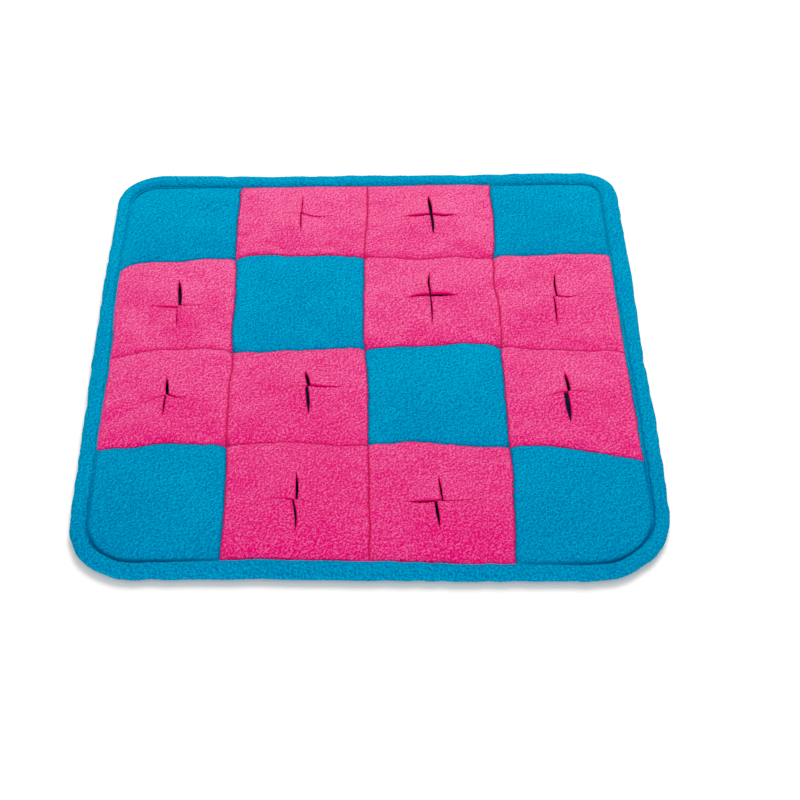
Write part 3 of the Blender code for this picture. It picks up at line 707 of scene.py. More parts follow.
def read_cross(key):
    """Everything about one cross: its centre and tips in u and v, its lean, and its flaps' shifts."""
    x, y, *arms = SLIT_ARMS[key]
    back, front, left, right = zip(arms[0::2], arms[1::2])
    gap_back, gap_front, gap_left, gap_right, step, *rises = SLIT_FLAPS[key]
    cross = {"u": locate(*key, x, y)[0], "v": locate(*key, x, y)[1], "bow": SLIT_BOWS[key]}
    tips = {"back": back, "front": front, "left": left, "right": right}
    for side, (dx, dy) in tips.items():
        u, v = locate(*key, x + dx, y + dy)
        upright = side in ("back", "front")
        cross[side] = v if upright else u
        straight = plan(*key, cross["u"], v) if upright else plan(*key, u, cross["v"])
        cross["lean_" + side] = x + dx - straight[0] if upright else y + dy - straight[1]
    rightward = {"left": unit(-left[0], -left[1]), "right": unit(*right)}
    backward = {"front": unit(-front[0], -front[1]), "back": unit(*back)}
    slides = {
        ("left", "back"): (-gap_back, gap_left, step, rises[0]),
        ("right", "back"): (gap_back, gap_right, step, rises[1]),
        ("left", "front"): (-gap_front, -gap_left, -step, rises[2]),
        ("right", "front"): (gap_front, -gap_right, -step, rises[3]),
    }
    cross["shift"] = {
        (side_u, side_v): (0.5 * across * rightward[side_u], 0.5 * along * backward[side_v],
                           0.5 * slip * rightward[side_u], rise)
        for (side_u, side_v), (across, along, slip, rise) in slides.items()}
    return cross


print("widest gap:", max(max(flaps[:4]) for flaps in SLIT_FLAPS.values()), "mm")


# %% Opening a cross
GAPE, GAPE_GROWTH = 0.85, 0.5       # a cut gapes widest a little way out from the centre


def tent(t, middle):
    """Rises from 0 at one end of a side to 1 at the middle point, and falls to 0 at the other."""
    return np.clip(np.where(t < middle, t / middle, (1.0 - t) / (1.0 - middle)), 0.0, 1.0)


def gape(t):
    """How wide a cut gapes, from its cross's centre at 0 to its tip at 1."""
    return (1.0 - t ** 3) * (GAPE + GAPE_GROWTH * t)


def hump(t, middle, low_tip, high_tip, low, high):
    """A lean that grows from the cross's centre to the tip of each cut and dies out at the seams."""
    below = np.minimum(np.clip((middle - t) / (middle - low_tip), 0, 1), np.clip(t / low_tip, 0, 1))
    above = np.minimum(np.clip((t - middle) / (high_tip - middle), 0, 1),
                       np.clip((1.0 - t) / (1.0 - high_tip), 0, 1))
    return np.where(t < middle, low * below, high * above)


def cut_moves(cross, u, v, right, back):
    """How a cross moves the points of its patch. right and back say which flap a point is on."""
    dx = hump(v, cross["v"], cross["front"], cross["back"], cross["lean_front"], cross["lean_back"])
    dy = hump(u, cross["u"], cross["left"], cross["right"], cross["lean_left"], cross["lean_right"])
    dx, dy, dz = dx * tent(u, cross["u"]), dy * tent(v, cross["v"]), np.zeros_like(u)
    tip_u = np.where(right, cross["right"], cross["left"])
    tip_v = np.where(back, cross["back"], cross["front"])
    a = np.clip((u - cross["u"]) / (tip_u - cross["u"]), 0, 1)
    b = np.clip((v - cross["v"]) / (tip_v - cross["v"]), 0, 1)
    bow_back, bow_front, bow_left, bow_right = cross["bow"]
    dx = dx + np.where(back, bow_back, bow_front) * np.sin(math.pi * b) * tent(u, cross["u"])
    dy = dy + np.where(right, bow_right, bow_left) * np.sin(math.pi * a) * tent(v, cross["v"])
    for (side_u, side_v), (open_x, open_y, step, rise) in cross["shift"].items():
        here = (right == (side_u == "right")) & (back == (side_v == "back"))
        apart = open_x[:, None, None] * gape(b) * (1 - a) + open_y[:, None, None] * gape(a) * (1 - b)
        apart = apart + step[:, None, None] * (1 - a) * (1 - b)
        dx, dy = dx + here * apart[0], dy + here * apart[1]
        dz = dz + here * rise * (1 - a * a) * (1 - b * b)
    return dx, dy, dz


print("half way out, a cut gapes", round(gape(0.5), 2), "of its width")


# %% Painted shade beside the cuts
UPRIGHT_SHADE, LEVEL_SHADE, SHADE_REACH = 0.75, 0.35, 0.55


def painted_cut_shade(cross, u, v, width, depth):
    """How much painted shade darkens the cloth beside the cuts. Light comes from the back, so an upright cut
    shows most.
    """
    past_u = np.maximum(np.maximum(cross["left"] - u, u - cross["right"]), 0.0) * width
    past_v = np.maximum(np.maximum(cross["front"] - v, v - cross["back"]), 0.0) * depth
    off_upright = np.hypot((u - cross["u"]) * width, past_v)
    off_level = np.hypot((v - cross["v"]) * depth, past_u)
    return np.maximum(UPRIGHT_SHADE * np.exp(-(off_upright / SHADE_REACH) ** 2),
                      LEVEL_SHADE * np.exp(-(off_level / SHADE_REACH) ** 2))


print("the shade fades within", 2 * SHADE_REACH, "mm")

# %% [markdown]
# ## The height of a patch
#
# A seam pulls the fleece down, and between the seams it springs up into a pillow. A plain patch is
# highest in its middle, and in a pocket patch the cuts leave the middle flatter. The seams between
# columns are sewn first and pull hardest, and the crossings of the seams lie lowest. By the binding the
# patch bends down under the strip in two steps: a short steep one at the groove and a long gentle one.
# Noise puckers the cloth by its seams and makes it lie unevenly, and a few single folds are added. All
# this is one height for each point, which is easier to steer than a simulated cloth.

# %% Folds
FOLDS = (
    # row, column, start x, y, end x, y, half width, height
    (3, 1, -118.0, -37.0, -134.0, -50.0, 5.0, -1.1),
    (3, 1, -126.0, -36.0, -138.0, -42.0, 5.0, 0.6),
    (2, 1, -128.0, 34.0, -110.0, 12.0, 8.0, -0.8),
    (2, 4, 88.0, 54.0, 96.0, 30.0, 6.0, 0.4),
    (3, 2, -48.0, -30.0, -66.0, -40.0, 5.0, -0.5),
)


def fold_height(x, y, start_x, start_y, end_x, end_y, half_width, height):
    """One soft valley or ridge along a line."""
    run = np.array((end_x - start_x, end_y - start_y))
    length = np.hypot(*run)
    along = ((x - start_x) * run[0] + (y - start_y) * run[1]) / length
    across = ((x - start_x) * run[1] - (y - start_y) * run[0]) / length
    past = np.maximum(np.maximum(-along, along - length), 0.0)
    return height * np.exp(-(across / half_width) ** 2 - (past / half_width) ** 2)


print("folds:", len(FOLDS))


# %% Seams and their crossings
ROW_PULL = 0.6                                  # a row seam pulls this share of a column seam
CORNER_DROP, CORNER_REACH = 0.9, 7.0            # how far a crossing sinks, wide
CORNER_DIP, CORNER_DIP_REACH = 1.3, 3.0         # and close to it


def seam_distances(row, column, u, v):
    """Distances to the seams of a patch, each with how hard its stitches pull. The rows are joined last
    and pull less. The sides under the binding don't count."""
    width, depth = patch_size(row, column)
    sides = ((column > 1, u * width, 1.0), (column < 4, (1 - u) * width, 1.0),
             (row < 4, v * depth, ROW_PULL), (row > 1, (1 - v) * depth, ROW_PULL))
    return [(distance, pull) for is_seam, distance, pull in sides if is_seam]


def corner_drop(row, column, u, v):
    """How far the cloth is held down round the crossings of the seams."""
    width, depth = patch_size(row, column)
    low = np.zeros_like(u)
    for at_u, in_net_u in ((0.0, column > 1), (1.0, column < 4)):
        for at_v, in_net_v in ((0.0, row < 4), (1.0, row > 1)):
            if in_net_u or in_net_v:
                away = np.hypot((u - at_u) * width, (v - at_v) * depth)
                drop = CORNER_DROP * np.exp(-away / CORNER_REACH)
                low = np.maximum(low, drop + CORNER_DIP * np.exp(-(away / CORNER_DIP_REACH) ** 2))
    return low


print("at a crossing the cloth is", CORNER_DROP + CORNER_DIP, "mm lower")


# %% The height of each point
PLAIN_SHOULDER, PLAIN_CROWN = 6.1, 2.0
POCKET_SHOULDER, POCKET_CROWN = 6.3, 0.6
SEAM_DEPTH, SEAM_ROUND = 0.9, 0.7               # the narrow valley of a seam
PILLOW_DEPTH, PILLOW_ROUND = 0.5, 4.0           # and the wide roll beside it
SEAM_SHADE, PRESS_REACH = 0.8, 0.8                   # how much painted shade darkens a seam, and how far that reaches
PILE_ROUND = 0.6                                # the curls are pressed this far from a seam
UNEVEN, PUCKERED, PUCKER_REACH = 0.22, 0.16, 12.0
LIP_COVER, TUCK_SLOPE, SHOULDER_REACH = 0.2, 5.0, 4.5
STEEP_REACH, STEEP_GROWTH, STEEP_SHARE = 0.15, 0.55, 0.6
CUT_SWELL, CUT_SWELL_REACH = 0.9, 14.0          # the flaps of a cross stand up a little
FAR = 99.0


def patch_height(row, column, x, y, u, v, is_pocket):
    """Height of a patch's upper face, how much painted shade darkens each point in a seam or groove, and how
    free its pile stands.
    """
    inward = edge_distance(x, y)
    rim = backing_top(inward) + GAP + RIM_CLOTH
    swell = pillow = np.ones_like(u)
    nearest, pressed = np.full_like(u, FAR), np.zeros_like(u)
    for distance, pull in seam_distances(row, column, u, v):
        swell = swell * (1.0 - pull * np.exp(-distance / SEAM_ROUND))
        pillow = pillow * (1.0 - np.exp(-distance / PILLOW_ROUND))
        nearest = np.minimum(nearest, distance)
        # painted shade in the seam, strongest where the stitches pull hardest
        pressed = np.maximum(pressed, SEAM_SHADE * pull * np.exp(-(distance / PRESS_REACH) ** 2))
    side, crown = (POCKET_SHOULDER, POCKET_CROWN) if is_pocket else (PLAIN_SHOULDER, PLAIN_CROWN)
    crest = side + crown * 16.0 * u * (1 - u) * v * (1 - v)
    crest = crest - corner_drop(row, column, u, v)
    crest = crest + UNEVEN * sample(SWELL, x, y)
    crest = crest + PUCKERED * sample(PUCKER, x, y) * np.exp(-nearest / PUCKER_REACH)
    for fold in FOLDS:
        if fold[:2] == (row, column):
            crest = crest + fold_height(x, y, *fold[2:])
    z = np.maximum(rim, crest - SEAM_DEPTH * (1 - swell) - PILLOW_DEPTH * (1 - pillow))
    past = inward - side_table_at(BINDING_WIDTH, x, y) - LIP_COVER
    tucked = TUCKED_TOP + side_table_at(BINDING_RISE, x, y) * np.clip(1.0 + past / TUCK_SLOPE, 0.0, 1.0)
    past = np.maximum(past, 0.0)
    groove = side_table_at(GROOVE, x, y)
    steep = np.exp(-past / (STEEP_REACH + STEEP_GROWTH * groove))
    bend = STEEP_SHARE * steep + (1.0 - STEEP_SHARE) * np.exp(-past / SHOULDER_REACH)
    z = tucked + (z - tucked) * (1.0 - bend)
    # painted shade in the groove by the binding, as strong as the side table says
    painted_shade = np.maximum(pressed, groove * np.exp(-(past / PRESS_REACH) ** 2))
    free = (1.0 - steep) * (1.0 - np.exp(-past / PRESS_REACH)) * (1.0 - np.exp(-nearest / PILE_ROUND))
    return z, painted_shade, free


print("a plain patch is", PLAIN_SHOULDER + PLAIN_CROWN, "mm high in its middle")

# %% [markdown]
# ## From cloth to mesh
#
# A patch is a grid of points about 0.6 mm apart, fine enough to carry the curls. Where a cut runs, the
# line of points is doubled, and the two copies are joined again past the tips. The underside is hidden,
# so it uses only every sixth line. Faces with many corners close the edge between the fine top and the
# coarse underside. The curls are then raised along the cloth's own direction, so they stand on the
# slopes of a seam as well.

# %% Grid lines
FINE, HIDDEN_STEP, COARSE_STEP = 0.56, 3.0, 6
CLOSE_LINES = (0.18, 0.42, 0.8)     # extra lines this far from a seam or cut


def grid_lines(stops, length, hidden_low, hidden_high, split_at=None):
    """Line positions through the stops, doubled where a cut runs."""
    lines = [np.array([stops[0]])]
    for a, b in zip(stops, stops[1:]):
        hidden = (a == 0.0 and hidden_low) or (b == 1.0 and hidden_high)
        after = [] if hidden or a not in (0.0, split_at) else [a + c / length for c in CLOSE_LINES]
        before = [] if hidden or b not in (1.0, split_at) else [b - c / length for c in CLOSE_LINES]
        low, high = max([a] + after), min([b] + before)
        count = max(1, round((high - low) * length / (HIDDEN_STEP if hidden else FINE)))
        even = low + (high - low) * np.arange(1, count) / count
        lines.append(np.concatenate([after, even, before[::-1], [b]]))
        if b == split_at:
            lines.append(np.array([b]))
    return np.concatenate(lines)


def coarse_lines(lines, keep):
    """Indices of the lines that the underside uses."""
    wanted = {0, len(lines) - 1}
    for stop in keep:
        wanted.update(int(i) for i in np.flatnonzero(lines == stop))
    marks = sorted(wanted)
    picked = list(marks)
    for a, b in zip(marks, marks[1:]):
        parts = max(1, round((b - a) / COARSE_STEP))
        picked += [a + round((b - a) * k / parts) for k in range(1, parts)]
    return sorted(set(picked))


print("lines across 70 mm:", len(grid_lines([0.0, 1.0], 70.0, False, False)))


# %% Sewing up the faces
def weld(ids, cross, us, vs):
    """Join the two copies of a doubled line again, past the tips of its cut."""
    i, j = int(np.flatnonzero(us == cross["u"])[0]), int(np.flatnonzero(vs == cross["v"])[0])
    closed_v = (vs <= cross["front"]) | (vs >= cross["back"])
    ids[i + 1, closed_v] = ids[i, closed_v]
    closed_u = (us <= cross["left"]) | (us >= cross["right"])
    ids[closed_u, j + 1] = ids[closed_u, j]
    return i, j


def quads(ids, skip_i, skip_j):
    """Faces between neighbouring grid lines, left out where a cut runs."""
    i, j = np.meshgrid(np.arange(ids.shape[0] - 1), np.arange(ids.shape[1] - 1), indexing="ij")
    keep = (i != skip_i) & (j != skip_j)
    i, j = i[keep], j[keep]
    return np.stack([ids[i, j], ids[i + 1, j], ids[i + 1, j + 1], ids[i, j + 1]], axis=1)


def edge_strips(nu, nv, cross, us, vs, i, j):
    """Every free edge of the grid, as runs of (line, line) steps with the cloth on their left."""
    across, along = np.arange(nu), np.arange(nv)
    strips = [[(k, 0) for k in across], [(nu - 1, k) for k in along],
              [(k, nv - 1) for k in across[::-1]], [(0, k) for k in along[::-1]]]
    if cross:
        u_at = {side: int(np.flatnonzero(us == cross[side])[0]) for side in ("left", "right")}
        v_at = {side: int(np.flatnonzero(vs == cross[side])[0]) for side in ("front", "back")}
        for low, high in ((v_at["front"], j), (j + 1, v_at["back"])):
            strips.append([(i, k) for k in range(low, high + 1)])
            strips.append([(i + 1, k) for k in range(high, low - 1, -1)])
        for low, high in ((u_at["left"], i), (i + 1, u_at["right"])):
            strips.append([(k, j) for k in range(high, low - 1, -1)])
            strips.append([(k, j + 1) for k in range(low, high + 1)])
    return strips


print("a grid of 3 by 3 points has", len(quads(np.arange(9).reshape(3, 3), -1, -1)), "faces")

# %% Writing a mesh
PRESSED_FROM = 0.3                      # faces with more painted shade than this take the pressed twin


def write_mesh(name, points, faces, materials, pile=None, painted_shade=None, cut_faces=0):
    """Make an object from points in mm. Where the painted shade is deep, faces take the second material, and
    the last cut_faces faces take the third."""
    mesh = bpy.data.meshes.new(name)
    mesh.from_pydata((np.asarray(points) * MM).tolist(), [], faces)
    for material in materials:
        mesh.materials.append(material)
    if painted_shade is not None:
        slots = [int(sum(painted_shade[k] for k in face) > PRESSED_FROM * len(face)) for face in faces]
        if cut_faces:
            slots[-cut_faces:] = [2] * cut_faces
        mesh.polygons.foreach_set("material_index", slots)
    for label, values in (("pile", pile), ("painted_shade", painted_shade)):
        if values is not None:
            layer = mesh.attributes.new(label, "FLOAT", "POINT")
            layer.data.foreach_set("value", np.asarray(values, dtype=np.float32))
    mesh.shade_smooth()
    piece = bpy.data.objects.new(name, mesh)
    bpy.context.scene.collection.objects.link(piece)
    return piece


print("a ditch deeper than", PRESSED_FROM, "takes the pressed twin")


# %% Raising the curls
LAMP_SIDE, TURN_SOFTNESS = 0.4, 0.12


def raise_curls(piece, pile, strength):
    """Push points out along the cloth's own direction by the height of the curls. First keep how far the
    cloth turns to the back and the sides, where the lamp grazes it, as the number `turn`, for the painted
    sheen."""
    mesh = piece.data
    count = len(mesh.vertices)
    spots, ways = np.empty(count * 3), np.empty(count * 3)
    mesh.vertices.foreach_get("co", spots)
    mesh.vertices.foreach_get("normal", ways)
    turned = ways[1::3] + LAMP_SIDE * np.abs(ways[0::3])
    layer = mesh.attributes.new("turn", "FLOAT", "POINT")
    layer.data.foreach_set("value", np.tanh(turned / TURN_SOFTNESS).astype(np.float32))
    lift = (CURL_HEIGHT * MM * np.asarray(pile) * np.asarray(strength))[:, None]
    spots = spots.reshape(-1, 3) + ways.reshape(-1, 3) * lift
    mesh.vertices.foreach_set("co", spots.ravel())
    mesh.update()


print("the curls stand", CURL_HEIGHT, "mm high for each unit of pile")

# %% Lines and faces of one patch
HIDDEN_U, HIDDEN_V = 6.0, 5.0       # this much of a patch at the edge of the mat lies under the binding


def patch_lines(row, column, cross, width, depth):
    """The stops that a patch's grid has to hit and its lines, across and along."""
    hidden_u, hidden_v = HIDDEN_U / width, HIDDEN_V / depth
    inner_u = [cross["left"], cross["u"], cross["right"]] if cross else []
    inner_v = [cross["front"], cross["v"], cross["back"]] if cross else []
    stops_u = [0.0] + [hidden_u] * (column == 1) + inner_u + [1 - hidden_u] * (column == 4) + [1.0]
    stops_v = [0.0] + [hidden_v] * (row == 4) + inner_v + [1 - hidden_v] * (row == 1) + [1.0]
    us = grid_lines(stops_u, width, column == 1, column == 4, cross and cross["u"])
    vs = grid_lines(stops_v, depth, row == 4, row == 1, cross and cross["v"])
    return stops_u, stops_v, us, vs


def patch_faces(ids, cross, stops_u, stops_v, us, vs, skip_i, skip_j):
    """Faces of the top and the coarse underside, of the walls at the seams and of those at the cuts."""
    keep_u, keep_v = coarse_lines(us, stops_u), coarse_lines(vs, stops_v)
    below = ids + ids.size
    coarse_i = keep_u.index(skip_i) if cross else -1
    coarse_j = keep_v.index(skip_j) if cross else -1
    under = quads(below[np.ix_(keep_u, keep_v)], coarse_i, coarse_j)[:, ::-1]
    walls, cuts = [], []
    for number, strip in enumerate(edge_strips(*ids.shape, cross, us, vs, skip_i, skip_j)):
        marks = [k for k, (a, b) in enumerate(strip) if a in keep_u and b in keep_v]
        for a, b in zip(marks, marks[1:]):
            upper = [int(ids[strip[k]]) for k in range(b, a - 1, -1)]
            face = upper + [int(below[strip[a]]), int(below[strip[b]])]
            (cuts if number > 3 else walls).append(face)
    return quads(ids, skip_i, skip_j), under, walls, cuts


first_lines = patch_lines(1, 1, None, *patch_size(1, 1))[2:]
print("lines of the first patch, across and along:", [len(lines) for lines in first_lines])


# %% One patch
SEAM_GAP = 0.015                    # half the gap between two patches in their seam
OPEN_CLOTH, EDGE_WAVE, EDGE_WAVE_REACH = 13.0, 0.20, 2.0
FLAT_PILE = 0.2                     # share of the curls that stays where the pile is pressed


def sew_patch(row, column):
    is_pocket = (row, column) in SLIT_ARMS
    cross = read_cross((row, column)) if is_pocket else None
    width, depth = patch_size(row, column)
    stops_u, stops_v, us, vs = patch_lines(row, column, cross, width, depth)
    u, v = np.meshgrid(us, vs, indexing="ij")
    apart_u, apart_v = SEAM_GAP / width, SEAM_GAP / depth
    flat_u, flat_v = np.clip(u, apart_u, 1 - apart_u), np.clip(v, apart_v, 1 - apart_v)
    x, y = round_corner(*plan(row, column, flat_u, flat_v))
    near = np.minimum.reduce([u * width, (1 - u) * width, v * depth, (1 - v) * depth])
    wave = (edge_distance(x, y) > OPEN_CLOTH) * EDGE_WAVE * np.exp(-near / EDGE_WAVE_REACH)
    x, y = x + wave * sample(WAVER, x, y), y + wave * sample(WAVER, x + FAR, y)
    ids = np.arange(u.size).reshape(u.shape)
    skip_i = skip_j = -1
    rise = shade = np.zeros_like(u)
    if cross:
        skip_i, skip_j = weld(ids, cross, us, vs)
        right = np.broadcast_to((np.arange(len(us)) > skip_i)[:, None], u.shape)
        back = np.broadcast_to((np.arange(len(vs)) > skip_j)[None, :], u.shape)
        dx, dy, rise = cut_moves(cross, u, v, right, back)
        x, y = x + dx, y + dy
        away = np.hypot((u - cross["u"]) * width, (v - cross["v"]) * depth)
        rise = rise + CUT_SWELL * np.exp(-(away / CUT_SWELL_REACH) ** 2)
        shade = painted_cut_shade(cross, u, v, width, depth)
    z, painted_shade, free = patch_height(row, column, x, y, u, v, is_pocket)
    # the painted shade beside the cuts joins the painted shade of the seams
    z, painted_shade = z + rise, np.maximum(painted_shade, shade)
    under = np.maximum(backing_top(edge_distance(x, y)) + GAP, z - PATCH_CLOTH)

    top_faces, under_faces, walls, cuts = patch_faces(ids, cross, stops_u, stops_v, us, vs, skip_i, skip_j)
    points = np.concatenate([np.stack([x, y, height], -1).reshape(-1, 3) for height in (z, under)])
    faces = top_faces.tolist() + under_faces.tolist() + walls + cuts
    used = np.zeros(len(points), dtype=bool)
    used[np.concatenate([top_faces.ravel(), under_faces.ravel()])] = True
    renumber = (np.cumsum(used) - 1).tolist()
    faces = [[renumber[k] for k in face] for face in faces]

    def on_points(above, below):
        return np.concatenate([above.ravel(), np.full(u.size, below)])[used]

    pile = on_points(sample(CURLS, x, y) * (FLAT_PILE + (1.0 - FLAT_PILE) * free), 0.0)
    cloth = (PINK_FLEECE, PRESSED_PINK, PAINTED_LIGHT_CUT_PINK) if is_pocket else (BLUE_FLEECE, PRESSED_BLUE)
    kind = "pocket" if is_pocket else "plain"
    piece = write_mesh(f"{kind}_fleece_{row}_{column}", points[used], faces, cloth, pile,
                       on_points(painted_shade, 1.0), len(cuts))
    raise_curls(piece, pile, on_points(free, 0.0))
    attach(piece, "root")
    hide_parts(f"{kind}_patch_{row}_{column}")
    return piece


print("a seam is", 2 * SEAM_GAP, "mm open")


# %% Sew all sixteen
patches = [sew_patch(row, column) for row in range(1, 5) for column in range(1, 5)]
print("patches:", len(patches), "faces:", sum(len(p.data.polygons) for p in patches))

# %% [markdown]
# ## The backing
#
# One square of close navy cloth. It shows through the cuts and is the whole underside of the mat. It
# lies flat on the floor and climbs at its edge into the fold of the binding. It is a plain grid of
# points, drawn in at the corners, with a few soft ripples below.

# %% Cut the backing
BACKING_STEPS = 75
RIPPLE = 0.25


def lay_backing():
    steps = np.linspace(0.0, 1.0, BACKING_STEPS + 1)
    u, v = np.meshgrid(steps, steps, indexing="ij")
    y = (2.0 * v - 1.0) * (HALF_MAT - TUCK)
    left, right = TUCK - reach("left", y), reach("right", y) - TUCK
    x = left + (right - left) * u
    front, back = TUCK - reach("front", x), reach("back", x) - TUCK
    x, y = round_corner(x, front + (back - front) * v)
    top = backing_top(edge_distance(x, y))
    under = top - BACKING_CLOTH + RIPPLE * np.clip(sample(SWELL, x, y), 0.0, 2.0)
    ids = np.arange(u.size).reshape(u.shape)
    faces = quads(ids, -1, -1).tolist() + (quads(ids, -1, -1)[:, ::-1] + u.size).tolist()
    for strip in edge_strips(*u.shape, None, steps, steps, -1, -1):
        for a, b in zip(strip, strip[1:]):
            here, there = int(ids[a]), int(ids[b])
            faces.append([there, here, here + u.size, there + u.size])
    points = np.concatenate([np.stack([x, y, z], -1).reshape(-1, 3) for z in (top, under)])
    piece = write_mesh("backing_cloth", points, faces, [NAVY_CLOTH])
    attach(piece, "root")
    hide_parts("backing")
    return piece


backing = lay_backing()
print("backing faces:", len(backing.data.polygons))

# %% [markdown]
# ## The binding
#
# A strip of blue fleece about 27 mm wide is folded over the edge and sewn through all the layers. The
# fold puffs up into a roll, and the line of stitches pulls a ditch beside it. In places the strip's own
# edge shows inside the ditch as a thin lip. Where the patches are thick, they lift the line of stitches
# and the roll's inner slope is short. The cut face of the strip is drawn once, as a closed line of
# distance in from the outline and height, and walked round the mat. A curve with a bevel could give the
# same roll, but not a width and a slope that change along it. The grain is stretched a little along the
# walk, so that the curls meet where it ends.

# %% Walking round the outline
WALK = (
    # side, the way out, the corner at its start and the one at its end
    ("front", (0, -1), ("left", "front"), ("right", "front")),
    ("right", (1, 0), ("right", "front"), ("right", "back")),
    ("back", (0, 1), ("right", "back"), ("left", "back")),
    ("left", (-1, 0), ("left", "back"), ("left", "front")),
)


def corner_centre(side_x, side_y):
    sign_x, sign_y = (1 if side_x == "right" else -1), (1 if side_y == "back" else -1)
    radius = CORNER_RADIUS[side_x, side_y]
    return (sign_x * (reach(side_x, sign_y * HALF_MAT) - radius),
            sign_y * (reach(side_y, sign_x * HALF_MAT) - radius))


def even_steps(length, spacing):
    return np.arange(round(length / spacing)) / round(length / spacing)


def outline(spacing):
    """Points round the outline, anticlockwise from the front left, the way out at each, and the
    distance walked."""
    spots, ways = [], []
    for side, out, start, end in WALK:
        a, b, radius = corner_centre(*start), corner_centre(*end), CORNER_RADIUS[end]
        if out[0] == 0:
            t = even_steps(abs(b[0] - a[0]), spacing)
            x = a[0] + (b[0] - a[0]) * t
            y = out[1] * reach(side, x)
        else:
            t = even_steps(abs(b[1] - a[1]), spacing)
            y = a[1] + (b[1] - a[1]) * t
            x = out[0] * reach(side, y)
        spots.append(np.stack([x, y], 1))
        ways.append(np.broadcast_to(out, (len(t), 2)))
        t = even_steps(0.5 * math.pi * radius, spacing)
        angle = math.atan2(out[1], out[0]) + 0.5 * math.pi * t
        way = np.stack([np.cos(angle), np.sin(angle)], 1)
        spots.append(np.array(b) + radius * way)
        ways.append(way)
    spots, ways = np.concatenate(spots), np.concatenate(ways)
    steps = np.linalg.norm(np.roll(spots, -1, axis=0) - spots, axis=1)
    return spots, ways, np.concatenate([[0.0], np.cumsum(steps)[:-1]])


print("the way round is", round(float(outline(1.0)[2][-1])), "mm")

# %% The strip's cut face
ROLL_START, ROLL_END = 22.0, 262.0      # angles of the roll's first and last point
ROLL_POINTS, ROLL_SQUARENESS = 34, 0.92
ROLL_FOOT = 0.35                        # the roll is flat below, this far over the floor
CREST_AT = (90.0 - ROLL_START) / (ROLL_END - ROLL_START)
LIP_PROUD = 0.45
# painted shade on the roll's inner foot, in the groove
ROLL_SHADE, ROLL_SHADE_REACH = 0.7, 0.05
HIDDEN_FADE = 1.6                       # how fast the curls die out under the roll


def binding_section(width, lip, rise):
    """Points round the folded strip's cut face for each place on the outline, with how much the
    curls show at each and how much painted shade darkens it in the ditch."""
    stitch, top = width - lip, FLANGE + rise
    proud = LIP_PROUD * np.minimum(lip, 1.0)
    half, low = 0.5 * stitch, 0.5 * ROLL_TOP
    # the strip's edge, its lip and the line of stitches: inward, height, share of the curls, painted shade
    spots = [
        (width + 0.2, top - 0.6, 0.0, 0.4),
        (width, top + 0.1 + proud, 0.3, 0.3),
        (width - 0.35 * lip, top + 0.2 + 1.4 * proud, 0.8, 0.0),
        (width - 0.7 * lip, top + 0.1 + proud, 0.6, 0.1),
        (stitch, top - 0.1, 0.2, 0.5),
    ]
    for t in np.linspace(0.0, 1.0, ROLL_POINTS):
        angle = math.radians(ROLL_START + (ROLL_END - ROLL_START) * t)
        across, up = math.cos(angle), math.sin(angle)
        inward = half + half * math.copysign(abs(across) ** ROLL_SQUARENESS, across)
        z = low + low * math.copysign(abs(up) ** ROLL_SQUARENESS, up)
        z = max(z, ROLL_FOOT) + rise * max(0.0, 1.0 - t / CREST_AT)
        hidden = max(0.0, angle - math.pi) / math.pi
        shade = ROLL_SHADE * math.exp(-(t / ROLL_SHADE_REACH) ** 2)
        spots.append((inward, z, 1.0 - HIDDEN_FADE * hidden, shade))
    # the crease of the stitches under the mat
    spots += [(stitch - 0.8, 0.4, 0.3, 0.0), (stitch, 0.75, 0.3, 0.0), (stitch + 0.6, 0.4, 0.3, 0.0)]
    # the inside of the fold
    spots += [(width + 0.6, 0.3, 0.0, 0.0), (width + 0.6, BINDING_CLOTH, 0.0, 0.0),
              (3.4, BINDING_CLOTH, 0.0, 0.0), (2.3, low, 0.0, 0.0), (3.4, FLANGE - 0.6, 0.0, 0.0)]
    level = np.zeros_like(width)
    return [(spot[0] + level, spot[1] + level) for spot in spots], [spot[2:] for spot in spots]


sample_section, _ = binding_section(np.array([9.0]), np.array([0.3]), np.array([0.5]))
print("the cut face has", len(sample_section), "points")

# %% Fold it round the mat
BINDING_STEP = 0.62
WIDTH_WAVER, OUTLINE_WAVER = 0.10, 0.15
WIDTH_ROW, OUTLINE_ROW = 40.0, 80.0     # two rows of the pucker noise, so that they don't match


def fold_binding():
    spots, ways, walked = outline(BINDING_STEP)
    x, y = (spots - ways).T
    width, lip = side_table_at(BINDING_WIDTH, x, y), side_table_at(BINDING_LIP, x, y)
    length = walked[-1] + BINDING_STEP
    field = FIELD_CELL * FIELD_SIZE
    along = walked * round(length / field) * field / length
    width = width + WIDTH_WAVER * sample(PUCKER, along, WIDTH_ROW + 0 * along)
    spots = spots + ways * OUTLINE_WAVER * sample(PUCKER, along, OUTLINE_ROW + 0 * along)[:, None]
    section, shown = binding_section(width, lip, side_table_at(BINDING_RISE, x, y))
    count, size = len(spots), len(section)
    grid, grain = [], []
    travel = np.zeros(count)
    for inward, z in section:
        here = np.column_stack([spots - ways * inward[:, None], z])
        if grid:
            travel = travel + np.linalg.norm(here - grid[-1], axis=1)
        grid.append(here)
        grain.append(sample(CURLS, along, travel))
    points = np.stack(grid, 1).reshape(-1, 3)
    pile = np.stack(grain, 1).ravel()
    strength = np.tile([curls for curls, _ in shown], count)
    # painted shade in the groove of the binding
    painted_shade = np.outer(side_table_at(GROOVE, x, y), [deep for _, deep in shown]).ravel()
    ids = np.arange(count * size).reshape(count, size)
    turned = np.roll(ids, -1, axis=1)
    faces = np.stack([ids, turned, np.roll(turned, -1, axis=0), np.roll(ids, -1, axis=0)], -1).reshape(-1, 4)
    piece = write_mesh("binding_fleece", points, faces.tolist(), [BLUE_FLEECE, PRESSED_BLUE], pile, painted_shade)
    raise_curls(piece, pile, strength)
    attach(piece, "root")
    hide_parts("binding")
    return piece


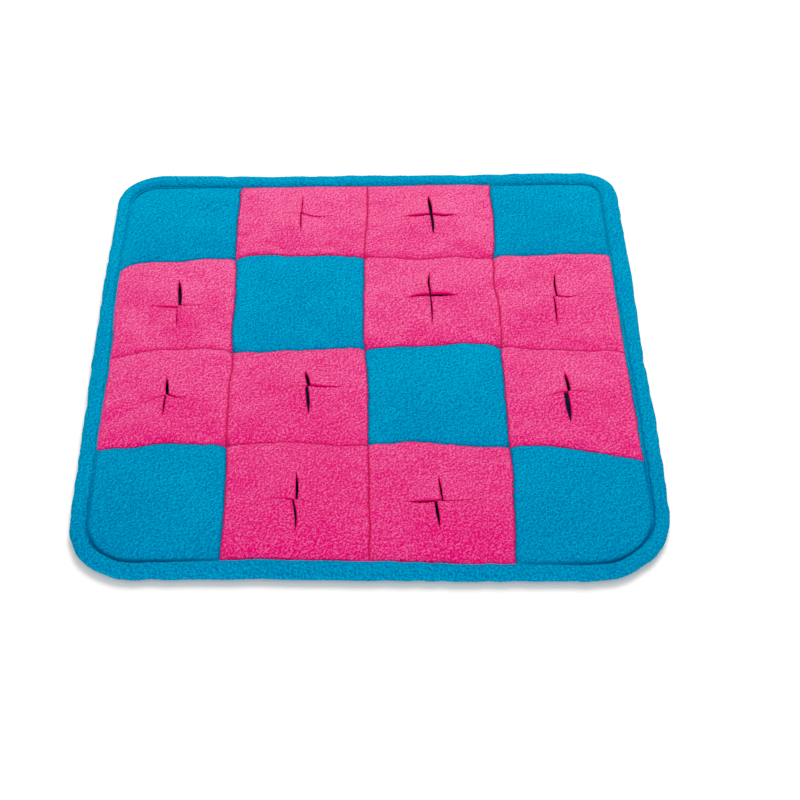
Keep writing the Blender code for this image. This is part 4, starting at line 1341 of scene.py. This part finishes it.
binding = fold_binding()
print("binding faces:", len(binding.data.polygons))

# %% [markdown]
# ## The stitches under the binding
#
# One line of machine stitches holds the binding, the patches and the backing together. On top it is
# lost in the pile, so only the underside gets thread. A thread could be one long curve that dives and
# comes up again, but a short bar for each stitch looks the same and has far fewer faces. The bars lie in
# the crease of the binding, and their ends dive into the cloth.

# %% Stitches under the binding
STITCH_PITCH, STITCH_LENGTH = 3.0, 2.3
THREAD_RADIUS, THREAD_SIDES, THREAD_HEIGHT = 0.24, 6, 0.52
STITCH_RINGS = (
    # place along the stitch, share of the thread's thickness, how far it dives
    (-0.5, 0.4, 0.3), (-0.32, 1.0, 0.0), (0.32, 1.0, 0.0), (0.5, 0.4, 0.3))


def one_stitch(middle, run, way, first):
    """Points and faces of one stitch, with its points numbered from first."""
    points, faces = [], []
    for along, thick, dive in STITCH_RINGS:
        radius = THREAD_RADIUS * thick
        for turn in range(THREAD_SIDES):
            angle = 2.0 * math.pi * turn / THREAD_SIDES
            x, y = middle + run * along * STITCH_LENGTH + way * (radius * math.cos(angle))
            points.append((x, y, THREAD_HEIGHT + dive + radius * math.sin(angle)))
    for start in range(first, first + len(points) - THREAD_SIDES, THREAD_SIDES):
        for turn in range(THREAD_SIDES):
            a, b = start + turn, start + (turn + 1) % THREAD_SIDES
            faces.append((a, b, b + THREAD_SIDES, a + THREAD_SIDES))
    last = first + len(points) - 1
    faces.append(tuple(range(first, first + THREAD_SIDES)))
    faces.append(tuple(range(last, last - THREAD_SIDES, -1)))
    return points, faces


def stitch_binding():
    spots, ways, _ = outline(STITCH_PITCH)
    x, y = (spots - ways).T
    inward = side_table_at(BINDING_WIDTH, x, y) - side_table_at(BINDING_LIP, x, y)
    middles = spots - ways * inward[:, None]
    runs = np.column_stack([-ways[:, 1], ways[:, 0]])
    points, faces = [], []
    for middle, run, way in zip(middles, runs, ways):
        more_points, more_faces = one_stitch(middle, run, way, len(points))
        points += more_points
        faces += more_faces
    piece = write_mesh("binding_stitches", points, faces, [BLUE_THREAD])
    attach(piece, "root")
    return piece, len(middles)


stitches, stitch_count = stitch_binding()
print("stitches:", stitch_count, "faces:", len(stitches.data.polygons))
